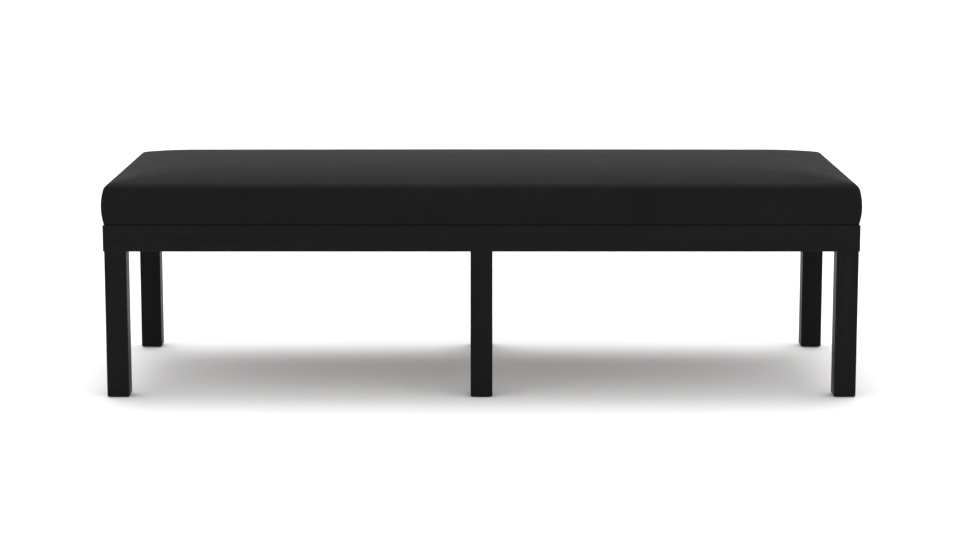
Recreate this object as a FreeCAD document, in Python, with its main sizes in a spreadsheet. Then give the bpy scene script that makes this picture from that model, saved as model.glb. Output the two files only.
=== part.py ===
import FreeCAD, Part
import math
import os
import re
import Sketcher
from FreeCAD import Placement, Rotation, Vector

# A long upholstered bench: one leather cushion on a low frame of four mitred rails,
# carried by six square legs. X runs along the bench, Y from its front to its back and
# Z up, with the origin on the floor below its centre. Lengths are in millimetres.

SIZES = {
    # The ring of rails
    "frame_length": 1524,
    "frame_depth": 584,
    "underside_height": 300,
    "rail_height": 53.5,
    "rail_thickness": 46.5,
    "rail_corner_radius": 2,
    "rail_edge_radius": 1.5,
    # The legs
    "leg_side": 44.5,
    "leg_setback": 2,
    "leg_edge_radius": 1.5,
    "foot_bevel": 2,
    # The floor glides and their screws
    "glide_radius": 14,
    "glide_recess": 3,
    "glide_stand": 1.5,
    "glide_bevel": 0.8,
    "glide_clearance": 0.2,
    "glide_screw_radius": 2,
    "glide_screw_length": 25,
    "glide_screw_head": 2,
    "glide_screw_sink": 0.7,
    "glide_screw_tip": 4,
    "glide_screw_clearance": 0.15,
    # The wooden dowels
    "dowel_radius": 4,
    "dowel_length": 40,
    "dowel_bevel": 0.8,
    "dowel_clearance": 0.1,
    "dowel_end_gap": 0.5,
    "corner_dowel_skew": 10,
    "centre_dowel_spread": 12,
    "mitre_dowel_wood": 1,
    # The bolts that hold the legs
    "bolt_radius": 4,
    "bolt_leg_depth": 50,
    "bolt_tail": 2.4,
    "bolt_bevel": 0.8,
    "bolt_clearance": 0.5,
    "thread_clearance": 0.05,
    "nut_width": 13,
    "nut_height": 6.5,
    "washer_radius": 10.5,
    "washer_thickness": 1.6,
    "washer_clearance": 0.2,
    "bolt_pocket_gap": 1.5,
    "bolt_pocket_depth": 14,
    # The cross rails
    "cross_rail_width": 32,
    "cross_rail_height": 40,
    "tenon_width": 12,
    "tenon_foot": 2.8,
    "tenon_wood": 3.25,
    "mortise_roof": 1.1,
    "mortise_clearance": 0.1,
    "mortise_end_gap": 0.5,
    # The corner blocks and their screws
    "block_leg": 60,
    "block_clip": 6,
    "block_drop": 9.5,
    "block_lift": 8,
    "block_screw_cover": 8,
    "block_screw_grip": 14,
    "block_screw_radius": 2.25,
    "block_screw_length": 35,
    "block_screw_tip": 4,
    "block_screw_head_radius": 4.2,
    "block_screw_head_height": 2.6,
    "block_pocket_gap": 1,
    # The seat deck
    "deck_side_gap": 0.5,
    "deck_thickness": 18,
    "deck_corner_radius": 5,
    "vent_radius": 10,
    # The screws that hold the seat, and the threaded inserts that take them
    "insert_flange_radius": 9.5,
    "insert_flange_thickness": 1.5,
    "insert_wall": 0.85,
    "insert_length": 12,
    "insert_clearance": 0.1,
    "insert_sink": 0.2,
    "seat_screw_radius": 3,
    "seat_screw_stop": 0.8,
    "seat_screw_bevel": 0.6,
    "seat_screw_head_width": 10,
    "seat_screw_head_height": 4,
    "seat_screw_grip": 25,
    "seat_screw_clearance": 0.5,
    "seat_pocket_gap": 1,
    "seat_washer_radius": 9,
    "seat_washer_thickness": 1.6,
    "seat_washer_clearance": 0.3,
    # The layers of the cushion
    "leather_thickness": 1.2,
    "layer_gap": 0.3,
    "batting_side": 3,
    "batting_top": 8,
    "foam_base_thickness": 40,
    # The outline of the cushion: its angles are in degrees
    "cushion_inset": 1,
    "roll_radius": 4,
    "side_height": 69,
    "side_lean": 13.8,
    "shoulder_radius": 20,
    "shoulder_end": 76,
    "crown_rise": 20,
    "crown_power": 3.4,
    "cushion_corner_radius": 9,
    "crown_corner_growth": 0.35,
    # The leather turned in below the deck, and the dust cover beside it
    "cover_tuck_lap": 4,
    "tuck_corner_radius": 6,
    "dust_cover_lap": 2.5,
    "dust_cover_thickness": 0.4,
    "dust_cover_corner_radius": 5,
    # The staples
    "staple_width": 10,
    "staple_wire_width": 1.2,
    "staple_wire_thickness": 0.6,
    "staple_length": 8,
    "staple_clearance": 0.05,
    "cover_staple_lap": 10.5,
    "dust_staple_gap": 5.5,
}

# How many staples hold the leather and the dust cover along each side
COVER_STAPLES_ALONG = 20
COVER_STAPLES_ACROSS = 8
DUST_STAPLES_ALONG = 18
DUST_STAPLES_ACROSS = 6

# Levels of the cushion's outline in each stretch, from the seam below to the crown
ROLL_LEVELS = 3
SIDE_LEVELS = 7
SHOULDER_LEVELS = 5
CROWN_LEVELS = 8
CROWN_CROWDING = 1.35
CROWN_CORNER_SHARE = 0.8

# Where the middle of a leg stands, measured from the outer faces of the frame
LEG_MIDDLE = "(leg_setback + leg_side / 2)"

# What follows from the sizes above: the leg bolts
WASHER_HOLE = "(bolt_radius + washer_clearance)"
BOLT_POCKET = "(washer_radius + bolt_pocket_gap)"
BOLT_LENGTH = ("(bolt_leg_depth + rail_height - bolt_pocket_depth + washer_thickness"
               " + nut_height + bolt_tail)")

# The mitre dowels, measured from the outer faces of the frame
MITRE_REACH = (f"({LEG_MIDDLE} + ({BOLT_POCKET} + dowel_radius + mitre_dowel_wood) * cos(45))")
MITRE_HEIGHTS = {"low": "rail_height / 4", "high": "rail_height * 3 / 4"}

# The tenons, which stop short of the bolts of the centre legs and pass below their nuts
TENON_LENGTH = (f"(rail_thickness - {LEG_MIDDLE} - bolt_radius - bolt_clearance"
                " - tenon_wood - mortise_end_gap)")
TENON_DROP = "(bolt_pocket_depth + mortise_roof + mortise_clearance)"
TENON_HEIGHT = f"(cross_rail_height - {TENON_DROP} - tenon_foot)"

# The corner blocks and their screws
BLOCK_HEIGHT = "(rail_height - block_drop - block_lift)"
BLOCK_REACH = "(block_leg - block_screw_grip - block_screw_cover)"
BLOCK_POCKET = "(block_screw_head_radius + block_pocket_gap)"
BLOCK_SCREW_HEIGHTS = {"low": f"{BLOCK_HEIGHT} / 4", "high": f"{BLOCK_HEIGHT} * 3 / 4"}

# The seat screws and their inserts
INSERT_BARREL = "(seat_screw_radius + thread_clearance + insert_wall)"
SEAT_POCKET = "(seat_washer_radius + seat_pocket_gap)"
SEAT_SCREW_LENGTH = ("(seat_screw_grip + seat_washer_thickness + leather_thickness"
                     " + deck_thickness - seat_screw_stop)")

# The insets of the deck, of the leather and cloth below it, and of their staples
DECK_INSET = "(cushion_inset + leather_thickness + layer_gap + batting_side + deck_side_gap)"
COVER_TUCK = "(rail_thickness - cover_tuck_lap)"
DUST_COVER_INSET = "(rail_thickness - dust_cover_lap)"
COVER_STAPLE_INSET = "(rail_thickness - cover_staple_lap)"
DUST_STAPLE_INSET = "(rail_thickness + dust_staple_gap)"

# Heights that several pieces share
RAIL_TOP = "(underside_height + rail_height)"
DECK_BOTTOM = f"({RAIL_TOP} + leather_thickness)"
DECK_TOP = f"({DECK_BOTTOM} + deck_thickness)"
SEAT_SCREW_SEAT = f"({RAIL_TOP} - seat_screw_grip)"
INSERT_SEAT = f"({DECK_TOP} - insert_flange_thickness - insert_sink)"

LEGS = {
    "front_left": (-1, -1),
    "front_centre": (0, -1),
    "front_right": (1, -1),
    "back_left": (-1, 1),
    "back_centre": (0, 1),
    "back_right": (1, 1),
}

# The corners of the frame, each with the turn that faces its corner block inwards
CORNERS = {
    "front_left": (-1, -1, 0),
    "front_right": (1, -1, 90),
    "back_right": (1, 1, 180),
    "back_left": (-1, 1, 270),
}

# Where each cross rail stands, in quarters of the frame's length from its middle
CROSS_RAILS = {"left": -1, "centre": 0, "right": 1}

UP = Rotation()
DOWN = Rotation(Vector(1, 0, 0), 180)

doc = FreeCAD.newDocument("upholstered_bench")
sheet = doc.addObject("Spreadsheet::Sheet", "Sizes")
for row, (alias, number) in enumerate(SIZES.items(), start=1):
    sheet.set(f"A{row}", alias)
    sheet.set(f"B{row}", str(number))
    sheet.setAlias(f"B{row}", alias)
doc.recompute()

subparts = []


# Reading the sheet

def size(alias):
    """The number that the sheet holds under this name."""
    return float(sheet.get(alias))


def bind(thing, prop, text):
    """Ties a property to a formula, in which the sheet's own names stand for its cells."""
    def cell(word):
        return f"Sizes.{word.group()}" if word.group() in SIZES else word.group()

    thing.setExpression(prop, re.sub(r"[a-z_]+", cell, text))


def bind_place(thing, prop, x, y, z):
    """Ties the three coordinates of a placement to formulas."""
    bind(thing, f"{prop}.Base.x", x)
    bind(thing, f"{prop}.Base.y", y)
    bind(thing, f"{prop}.Base.z", z)


# Bodies and their features

def new_body(name, kept=True):
    """Starts a body, which becomes a sub-part unless it is only a tool."""
    body = doc.addObject("PartDesign::Body", name)
    body.Label = name
    if kept:
        subparts.append(body)
    return body


def plane_of(body, role):
    """The body's own origin plane of this name."""
    return next(part for part in body.Origin.OriginFeatures if part.Role == role)


def attach(feature, body, role="XY_Plane"):
    feature.AttachmentSupport = [(plane_of(body, role), "")]
    feature.MapMode = "FlatFace"


def box(body, name, width, depth, height, x="0", y="0", z="0", cut=False):
    """Adds or cuts a box centred on x and y, with its base at z."""
    kind = "Subtractive" if cut else "Additive"
    block = body.newObject(f"PartDesign::{kind}Box", name)
    attach(block, body)
    bind(block, "Length", width)
    bind(block, "Width", depth)
    bind(block, "Height", height)
    bind_place(block, "AttachmentOffset", f"{x} - ({width}) / 2", f"{y} - ({depth}) / 2", z)
    return block


def rod(body, name, radius, height, x="0", y="0", z="0", turn=UP, cut=False):
    """Adds or cuts a cylinder that rises from x, y, z, or runs the way it is turned."""
    kind = "Subtractive" if cut else "Additive"
    cylinder = body.newObject(f"PartDesign::{kind}Cylinder", name)
    attach(cylinder, body)
    cylinder.AttachmentOffset = Placement(Vector(), turn)
    bind(cylinder, "Radius", radius)
    bind(cylinder, "Height", height)
    bind_place(cylinder, "AttachmentOffset", x, y, z)
    return cylinder


def drill(body, name, radius, depth, x="0", y="0", z="0", turn=UP):
    """Cuts a round hole that starts at x, y, z."""
    return rod(body, name, radius, depth, x, y, z, turn, cut=True)


def cone(body, name, low_radius, high_radius, height, z="0", cut=False):
    """Adds or cuts a cone that rises from z on the body's own axis."""
    kind = "Subtractive" if cut else "Additive"
    taper = body.newObject(f"PartDesign::{kind}Cone", name)
    attach(taper, body)
    bind(taper, "Radius1", low_radius)
    bind(taper, "Radius2", high_radius)
    bind(taper, "Height", height)
    bind(taper, "AttachmentOffset.Base.z", z)
    return taper


def hexagon(body, name, width, height, z="0"):
    """Adds a six-sided prism, with its width measured across two flats."""
    prism = body.newObject("PartDesign::AdditivePrism", name)
    attach(prism, body)
    prism.Polygon = 6
    bind(prism, "Circumradius", f"{width} / 2 / cos(30)")
    bind(prism, "Height", height)
    bind(prism, "AttachmentOffset.Base.z", z)
    return prism


def soften(body, name, kind, prop, reach, picked):
    """Rounds (Fillet) or bevels (Chamfer) the edges of the body that are picked."""
    base = body.Tip
    doc.recompute([base])
    edges = [f"Edge{n}" for n, edge in enumerate(base.Shape.Edges, start=1) if picked(edge)]
    if not edges:
        raise RuntimeError(f"{body.Label}: no edge was picked for {name}")
    feature = body.newObject(f"PartDesign::{kind}", name)
    feature.Base = (base, edges)
    bind(feature, prop, reach)
    return feature


def level_edge(edge, height):
    """Whether every point of an edge lies at this height."""
    box_of_edge = edge.BoundBox
    return abs(box_of_edge.ZMin - height) < 0.001 and abs(box_of_edge.ZMax - height) < 0.001


def end_circle(edge):
    """Whether an edge is one of the level circles that end a cylinder."""
    return edge.BoundBox.ZLength < 0.001


def upper_circle(edge):
    """Whether an edge is a level circle above the foot of its body."""
    return end_circle(edge) and edge.Closed and edge.BoundBox.ZMin > 0


def upright_edge(edge):
    """Whether an edge is a straight vertical line."""
    box_of_edge = edge.BoundBox
    return box_of_edge.XLength < 0.001 and box_of_edge.YLength < 0.001


def rising_edge(edge):
    """Whether an edge climbs, upright or aslant."""
    return edge.BoundBox.ZLength > 0.001


def new_sketch(body, name, role="XY_Plane"):
    sketch = body.newObject("Sketcher::SketchObject", name)
    attach(sketch, body, role)
    return sketch


def join(sketch, *corners):
    """Makes the end of each curve meet the start of the next, round the outline."""
    for first, second in corners:
        sketch.addConstraint(Sketcher.Constraint("Coincident", first, 2, second, 1))


def dimension(sketch, name, kind, first, second, text):
    """Adds a horizontal or vertical distance between two points and ties it to a formula."""
    start = sketch.getPoint(*first)
    end = sketch.getPoint(*second)
    drawn = end.x - start.x if kind == "DistanceX" else end.y - start.y
    number = sketch.addConstraint(Sketcher.Constraint(kind, *first, *second, drawn))
    sketch.renameConstraint(number, name)
    bind(sketch, f"Constraints.{name}", text)


def pad(body, name, sketch, length):
    feature = body.newObject("PartDesign::Pad", name)
    feature.Profile = sketch
    bind(feature, "Length", length)
    return feature


# Copies and booleans

def copies(name, source, spots, kept=True):
    """Places a copy of a body at each spot and groups the copies under one name."""
    links = []
    for number, (x, y, z, turn) in enumerate(spots, start=1):
        link = doc.addObject("App::Link", f"{name}_{number}")
        link.LinkedObject = source
        link.Placement = Placement(Vector(), turn)
        bind_place(link, "Placement", x, y, z)
        links.append(link)
    return group(name, links, kept)


def group(name, things, kept=False):
    """Groups objects under one name without joining them."""
    compound = doc.addObject("Part::Compound", name)
    compound.Label = name
    compound.Links = things
    if kept:
        subparts.append(compound)
    return compound


def boolean(kind, name, base, tool, kept=True):
    """Cuts the tool from the base (Cut) or keeps what they share (Common)."""
    result = doc.addObject(f"Part::{kind}", name)
    result.Label = name
    result.Base = base
    result.Tool = tool
    if kept:
        subparts.append(result)
    return result


def across_corner(side_x, side_y):
    """The level turn whose axis crosses the mitre of a corner at a right angle."""
    return Rotation(Vector(0, 0, 1), Vector(1, -side_x * side_y, 0))


# The ring of rails

def mitred_rail(name, length):
    """One rail along its own X, with its outer face on Y = 0 and its underside on Z = 0."""
    body = new_body(name)
    half = size(length) / 2
    thick = size("rail_thickness")
    bend = size("rail_corner_radius")
    slant = bend * math.cos(math.radians(45))
    outer_left = Vector(bend - half, 0)
    outer_right = Vector(half - bend, 0)
    tip_left = Vector(bend - half - slant, bend - slant)
    tip_right = Vector(half - bend + slant, bend - slant)
    inner_left = Vector(thick - half, thick)
    inner_right = Vector(half - thick, thick)
    right_bend = Part.Circle(Vector(half - bend, bend), Vector(0, 0, 1), bend)
    left_bend = Part.Circle(Vector(bend - half, bend), Vector(0, 0, 1), bend)
    outline = new_sketch(body, f"{name}_outline")
    outline.addGeometry(Part.LineSegment(outer_left, outer_right))
    outline.addGeometry(Part.ArcOfCircle(right_bend, math.radians(-90), math.radians(-45)))
    outline.addGeometry(Part.LineSegment(tip_right, inner_right))
    outline.addGeometry(Part.LineSegment(inner_right, inner_left))
    outline.addGeometry(Part.LineSegment(inner_left, tip_left))
    outline.addGeometry(Part.ArcOfCircle(left_bend, math.radians(-135), math.radians(-90)))
    join(outline, (0, 1), (1, 2), (2, 3), (3, 4), (4, 5), (5, 0))
    outline.addConstraint(Sketcher.Constraint("PointOnObject", 0, 1, -1))
    outline.addConstraint(Sketcher.Constraint("Symmetric", 0, 1, 0, 2, -2))
    outline.addConstraint(Sketcher.Constraint("Symmetric", 3, 1, 3, 2, -2))
    outline.addConstraint(Sketcher.Constraint("PointOnObject", 1, 3, 2))
    outline.addConstraint(Sketcher.Constraint("PointOnObject", 5, 3, 4))
    outline.addConstraint(Sketcher.Constraint("Vertical", 0, 2, 1, 3))
    outline.addConstraint(Sketcher.Constraint("Vertical", 0, 1, 5, 3))
    dimension(outline, "outer", "DistanceX", (0, 1), (0, 2), f"{length} - 2 * rail_corner_radius")
    dimension(outline, "inner", "DistanceX", (3, 2), (3, 1), f"{length} - 2 * rail_thickness")
    dimension(outline, "thick", "DistanceY", (0, 1), (3, 2), "rail_thickness")
    dimension(outline, "right_bend", "DistanceY", (0, 2), (1, 3), "rail_corner_radius")
    dimension(outline, "left_bend", "DistanceY", (0, 1), (5, 3), "rail_corner_radius")
    pad(body, f"{name}_blank", outline, "rail_height")
    tall = size("rail_height")

    def outer_edge(edge):
        level = level_edge(edge, 0) or level_edge(edge, tall)
        return level and edge.BoundBox.YMax < bend

    soften(body, f"{name}_easing", "Fillet", "Radius", "rail_edge_radius", outer_edge)
    for side, sign in (("left", -1), ("right", 1)):
        end = f"{sign} * {length} / 2"
        inward = -sign
        leg_x = f"{end} + {inward} * {LEG_MIDDLE}"
        bolt_hole(body, f"{side}_bolt", leg_x, LEG_MIDDLE)
        dowel_x = f"{leg_x} + {inward} * corner_dowel_skew"
        leg_dowel_hole(body, f"{side}_leg_dowel", dowel_x, f"{LEG_MIDDLE} - corner_dowel_skew")
        mitre_x = f"{end} + {inward} * {MITRE_REACH}"
        into_rail = Rotation(Vector(0, 0, 1), Vector(inward, -1, 0))
        for level, height in MITRE_HEIGHTS.items():
            drill(body, f"{side}_{level}_mitre_dowel_hole", "dowel_radius + dowel_clearance",
                  "dowel_length / 2 + dowel_end_gap", mitre_x, MITRE_REACH, height, into_rail)
        screw_x = f"{end} + {inward} * (rail_thickness + {BLOCK_REACH})"
        out_of_ring = Rotation(Vector(0, 0, 1), Vector(0, -1, 0))
        for level, height in BLOCK_SCREW_HEIGHTS.items():
            drill(body, f"{side}_{level}_block_screw_hole",
                  "block_screw_radius + thread_clearance",
                  "block_screw_length - block_screw_grip + dowel_end_gap",
                  screw_x, "rail_thickness", f"block_lift + {height}", out_of_ring)
    return body


def bolt_hole(body, name, x, y):
    """The way for a leg bolt up through a rail, with a round pocket for its nut on top."""
    drill(body, f"{name}_hole", "bolt_radius + bolt_clearance", "rail_height", x, y)
    drill(body, f"{name}_pocket", BOLT_POCKET, "bolt_pocket_depth", x, y,
          "rail_height - bolt_pocket_depth")


def leg_dowel_hole(body, name, x, y):
    """A blind hole for a dowel in the underside of a rail."""
    drill(body, f"{name}_hole", "dowel_radius + dowel_clearance",
          "dowel_length / 2 + dowel_end_gap", x, y)


def long_rail(name):
    """A front or back rail, with its centre leg's holes and a mortise for each cross rail."""
    body = mitred_rail(name, "frame_length")
    bolt_hole(body, "centre_bolt", "0", LEG_MIDDLE)
    for side, sign in (("left", -1), ("right", 1)):
        leg_dowel_hole(body, f"centre_{side}_leg_dowel", f"{sign} * centre_dowel_spread", LEG_MIDDLE)
    depth = f"({TENON_LENGTH} + mortise_end_gap)"
    for side, quarter in CROSS_RAILS.items():
        box(body, f"{side}_mortise", "tenon_width + 2 * mortise_clearance", depth,
            f"{TENON_HEIGHT} + 2 * mortise_clearance", f"{quarter} * frame_length / 4",
            f"rail_thickness - {depth} / 2",
            f"rail_height - {TENON_DROP} - {TENON_HEIGHT} - mortise_clearance", cut=True)
    return body


def end_rail(name):
    """A left or right rail, with the hole for the seat screw at its middle."""
    body = mitred_rail(name, "frame_depth")
    middle = "rail_thickness / 2"
    drill(body, "seat_screw_hole", "seat_screw_radius + seat_screw_clearance", "rail_height",
          "0", middle)
    drill(body, "seat_screw_pocket", SEAT_POCKET, "rail_height - seat_screw_grip",
          "0", middle)
    return body


def make_rails():
    front = long_rail("front_rail")
    bind_place(front, "Placement", "0", "-frame_depth / 2", "underside_height")
    back = long_rail("back_rail")
    back.Placement.Rotation = Rotation(Vector(0, 0, 1), 180)
    bind_place(back, "Placement", "0", "frame_depth / 2", "underside_height")
    left = end_rail("left_end_rail")
    left.Placement.Rotation = Rotation(Vector(0, 0, 1), -90)
    bind_place(left, "Placement", "-frame_length / 2", "0", "underside_height")
    right = end_rail("right_end_rail")
    right.Placement.Rotation = Rotation(Vector(0, 0, 1), 90)
    bind_place(right, "Placement", "frame_length / 2", "0", "underside_height")


def make_cross_rails():
    """Three rails from front to back, tenoned into the long rails, that carry the deck."""
    for side, quarter in CROSS_RAILS.items():
        name = f"{side}_cross_rail"
        body = new_body(name)
        box(body, "bar", "cross_rail_width", "frame_depth - 2 * rail_thickness",
            "cross_rail_height")
        box(body, "tenons", "tenon_width",
            f"frame_depth - 2 * rail_thickness + 2 * {TENON_LENGTH}", TENON_HEIGHT,
            z=f"cross_rail_height - {TENON_DROP} - {TENON_HEIGHT}")
        for end, sign in (("front", -1), ("back", 1)):
            y = f"{sign} * frame_depth / 4"
            drill(body, f"{end}_seat_screw_hole", "seat_screw_radius + seat_screw_clearance",
                  "cross_rail_height", "0", y)
            drill(body, f"{end}_seat_screw_pocket", SEAT_POCKET,
                  "cross_rail_height - seat_screw_grip", "0", y)
        bind_place(body, "Placement", f"{quarter} * frame_length / 4", "0",
                   f"{RAIL_TOP} - cross_rail_height")


# The corner blocks

def block_outline(body):
    """A right-angled triangle in the corner of the ring, with its tip clipped off."""
    leg = size("block_leg")
    clip = size("block_clip")
    outline = new_sketch(body, "block_outline")
    outline.addGeometry(Part.LineSegment(Vector(clip, 0), Vector(leg, 0)))
    outline.addGeometry(Part.LineSegment(Vector(leg, 0), Vector(0, leg)))
    outline.addGeometry(Part.LineSegment(Vector(0, leg), Vector(0, clip)))
    outline.addGeometry(Part.LineSegment(Vector(0, clip), Vector(clip, 0)))
    join(outline, (0, 1), (1, 2), (2, 3), (3, 0))
    outline.addConstraint(Sketcher.Constraint("PointOnObject", 0, 1, -1))
    outline.addConstraint(Sketcher.Constraint("PointOnObject", 0, 2, -1))
    outline.addConstraint(Sketcher.Constraint("PointOnObject", 2, 1, -2))
    outline.addConstraint(Sketcher.Constraint("PointOnObject", 2, 2, -2))
    origin = (-1, 1)
    dimension(outline, "leg_along", "DistanceX", origin, (0, 2), "block_leg")
    dimension(outline, "leg_across", "DistanceY", origin, (2, 1), "block_leg")
    dimension(outline, "clip_along", "DistanceX", origin, (0, 1), "block_clip")
    dimension(outline, "clip_across", "DistanceY", origin, (2, 2), "block_clip")
    return outline


def corner_block(name):
    body = new_body(name)
    pad(body, "block", block_outline(body), BLOCK_HEIGHT)
    to_front = Rotation(Vector(0, 0, 1), Vector(0, 1, 0))
    to_side = Rotation(Vector(0, 0, 1), Vector(1, 0, 0))
    hole = "block_screw_radius + thread_clearance"
    for level, height in BLOCK_SCREW_HEIGHTS.items():
        drill(body, f"front_{level}_hole", hole, "block_leg", BLOCK_REACH, "0", height, to_front)
        drill(body, f"side_{level}_hole", hole, "block_leg", "0", BLOCK_REACH, height, to_side)
        drill(body, f"front_{level}_pocket", BLOCK_POCKET, "block_leg", BLOCK_REACH,
              "block_screw_grip", height, to_front)
        drill(body, f"side_{level}_pocket", BLOCK_POCKET, "block_leg", "block_screw_grip",
              BLOCK_REACH, height, to_side)
    return body


def quarter_turned(angle, x, y):
    """A point in a corner block's own frame, seen from the frame of the bench."""
    turned = {
        0: (f"({x})", f"({y})"),
        90: (f"-({y})", f"({x})"),
        180: (f"-({x})", f"-({y})"),
        270: (f"({y})", f"-({x})"),
    }
    return turned[angle]


def make_corner_blocks():
    """Four glued and screwed blocks that keep the mitres closed."""
    screw = block_screw()
    base = "underside_height + block_lift"
    spots = []
    for corner, (side_x, side_y, angle) in CORNERS.items():
        block = corner_block(f"{corner}_corner_block")
        turn = Rotation(Vector(0, 0, 1), angle)
        block.Placement.Rotation = turn
        x = f"{side_x} * (frame_length / 2 - rail_thickness)"
        y = f"{side_y} * (frame_depth / 2 - rail_thickness)"
        bind_place(block, "Placement", x, y, base)
        to_front = turn.multiply(Rotation(Vector(0, 0, 1), Vector(0, 1, 0)))
        to_side = turn.multiply(Rotation(Vector(0, 0, 1), Vector(1, 0, 0)))
        for height in BLOCK_SCREW_HEIGHTS.values():
            z = f"{base} + {height}"
            across, along = quarter_turned(angle, BLOCK_REACH, "block_screw_grip")
            spots.append((f"{x} + {across}", f"{y} + {along}", z, to_front))
            across, along = quarter_turned(angle, "block_screw_grip", BLOCK_REACH)
            spots.append((f"{x} + {across}", f"{y} + {along}", z, to_side))
    copies("corner_block_screws", screw, spots)


def block_screw():
    """A pan-head wood screw below Z = 0, with its head above."""
    body = new_body("corner_block_screw", kept=False)
    length = "block_screw_length - block_screw_tip"
    rod(body, "shank", "block_screw_radius", length, z=f"-({length})")
    cone(body, "tip", "block_screw_radius / 8", "block_screw_radius", "block_screw_tip",
         "-block_screw_length")
    rod(body, "head", "block_screw_head_radius", "block_screw_head_height")
    top = size("block_screw_head_height")
    soften(body, "head_round", "Fillet", "Radius", "block_screw_head_height / 2",
           lambda edge: level_edge(edge, top))
    return body


# The mitre dowels and the leg dowels

def dowel():
    """A bevelled dowel centred on the origin, along Z."""
    body = new_body("dowel", kept=False)
    rod(body, "stem", "dowel_radius", "dowel_length", z="-dowel_length / 2")
    soften(body, "end_bevels", "Chamfer", "Size", "dowel_bevel", end_circle)
    return body


def make_dowels():
    peg = dowel()
    mitre_spots = []
    for side_x, side_y, _ in CORNERS.values():
        x = f"{side_x} * (frame_length / 2 - {MITRE_REACH})"
        y = f"{side_y} * (frame_depth / 2 - {MITRE_REACH})"
        turn = across_corner(side_x, side_y)
        for height in MITRE_HEIGHTS.values():
            mitre_spots.append((x, y, f"underside_height + {height}", turn))
    copies("mitre_dowels", peg, mitre_spots)
    leg_spots = []
    for side_x, side_y in LEGS.values():
        x, y = leg_place(side_x, side_y)
        for sign in (-1, 1):
            shift_x, shift_y = leg_dowel_shift(side_x, side_y, sign)
            leg_spots.append((f"{x} + {shift_x}", f"{y} + {shift_y}", "underside_height", UP))
    copies("leg_dowels", peg, leg_spots)


# The legs and what they stand on

def leg_place(side_x, side_y):
    """The middle of a leg, seen from above."""
    x = f"{side_x} * (frame_length / 2 - {LEG_MIDDLE})"
    y = f"{side_y} * (frame_depth / 2 - {LEG_MIDDLE})"
    return x, y


def leg_dowel_shift(side_x, side_y, sign):
    """How far a dowel stands from the middle of its leg: across the mitre at a corner."""
    if side_x == 0:
        return f"{sign} * centre_dowel_spread", "0"
    return f"{sign} * corner_dowel_skew", f"{-sign * side_x * side_y} * corner_dowel_skew"


def make_leg(name, side_x, side_y):
    """A square leg that stands on its glide, drilled above for its bolt and two dowels."""
    body = new_body(f"{name}_leg")
    box(body, "post", "leg_side", "leg_side", "underside_height - glide_stand", z="glide_stand")
    foot = size("glide_stand")
    soften(body, "foot_easing", "Chamfer", "Size", "foot_bevel",
           lambda edge: level_edge(edge, foot))
    soften(body, "leg_easing", "Fillet", "Radius", "leg_edge_radius", rising_edge)
    drill(body, "bolt_hole", "bolt_radius + thread_clearance", "bolt_leg_depth + dowel_end_gap",
          z="underside_height - bolt_leg_depth - dowel_end_gap")
    half = "(dowel_length / 2 + dowel_end_gap)"
    for side, sign in (("first", -1), ("second", 1)):
        shift_x, shift_y = leg_dowel_shift(side_x, side_y, sign)
        drill(body, f"{side}_dowel_hole", "dowel_radius + dowel_clearance", half,
              shift_x, shift_y, f"underside_height - {half}")
    drill(body, "glide_seat", "glide_radius + glide_clearance", "glide_recess", z="glide_stand")
    drill(body, "glide_screw_hole", "glide_screw_radius + thread_clearance",
          "glide_screw_length + glide_screw_sink + dowel_end_gap")
    x, y = leg_place(side_x, side_y)
    bind_place(body, "Placement", x, y, "0")


def make_glide(name, side_x, side_y):
    """A round nylon glide, screwed up into the foot of a leg."""
    body = new_body(f"{name}_glide")
    rod(body, "disc", "glide_radius", "glide_recess + glide_stand")
    soften(body, "floor_bevel", "Chamfer", "Size", "glide_bevel", lambda edge: level_edge(edge, 0))
    hole = "(glide_screw_radius + glide_screw_clearance)"
    sink = "(glide_screw_sink + glide_screw_head)"
    drill(body, "screw_hole", hole, "glide_recess + glide_stand")
    cone(body, "countersink", f"{hole} + {sink}", hole, sink, cut=True)
    x, y = leg_place(side_x, side_y)
    bind_place(body, "Placement", x, y, "0")


def glide_screw():
    """A countersunk wood screw that points up, with the face of its head on Z = 0."""
    body = new_body("glide_screw", kept=False)
    cone(body, "head", "glide_screw_radius + glide_screw_head", "glide_screw_radius",
         "glide_screw_head")
    shank = "glide_screw_length - glide_screw_head - glide_screw_tip"
    rod(body, "shank", "glide_screw_radius", shank, z="glide_screw_head")
    cone(body, "tip", "glide_screw_radius", "glide_screw_radius / 8", "glide_screw_tip",
         "glide_screw_length - glide_screw_tip")
    return body


def leg_bolt():
    """A headless bolt along Z that starts at the bottom of its hole in the leg."""
    body = new_body("leg_bolt", kept=False)
    rod(body, "stem", "bolt_radius", BOLT_LENGTH)
    soften(body, "end_bevels", "Chamfer", "Size", "bolt_bevel", end_circle)
    return body


def flat_washer(name, radius, hole, thickness):
    body = new_body(name, kept=False)
    rod(body, "disc", radius, thickness)
    drill(body, "hole", hole, thickness)
    return body


def leg_nut():
    body = new_body("leg_nut", kept=False)
    hexagon(body, "hexagon", "nut_width", "nut_height")
    drill(body, "thread", "bolt_radius + thread_clearance", "nut_height")
    return body


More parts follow.
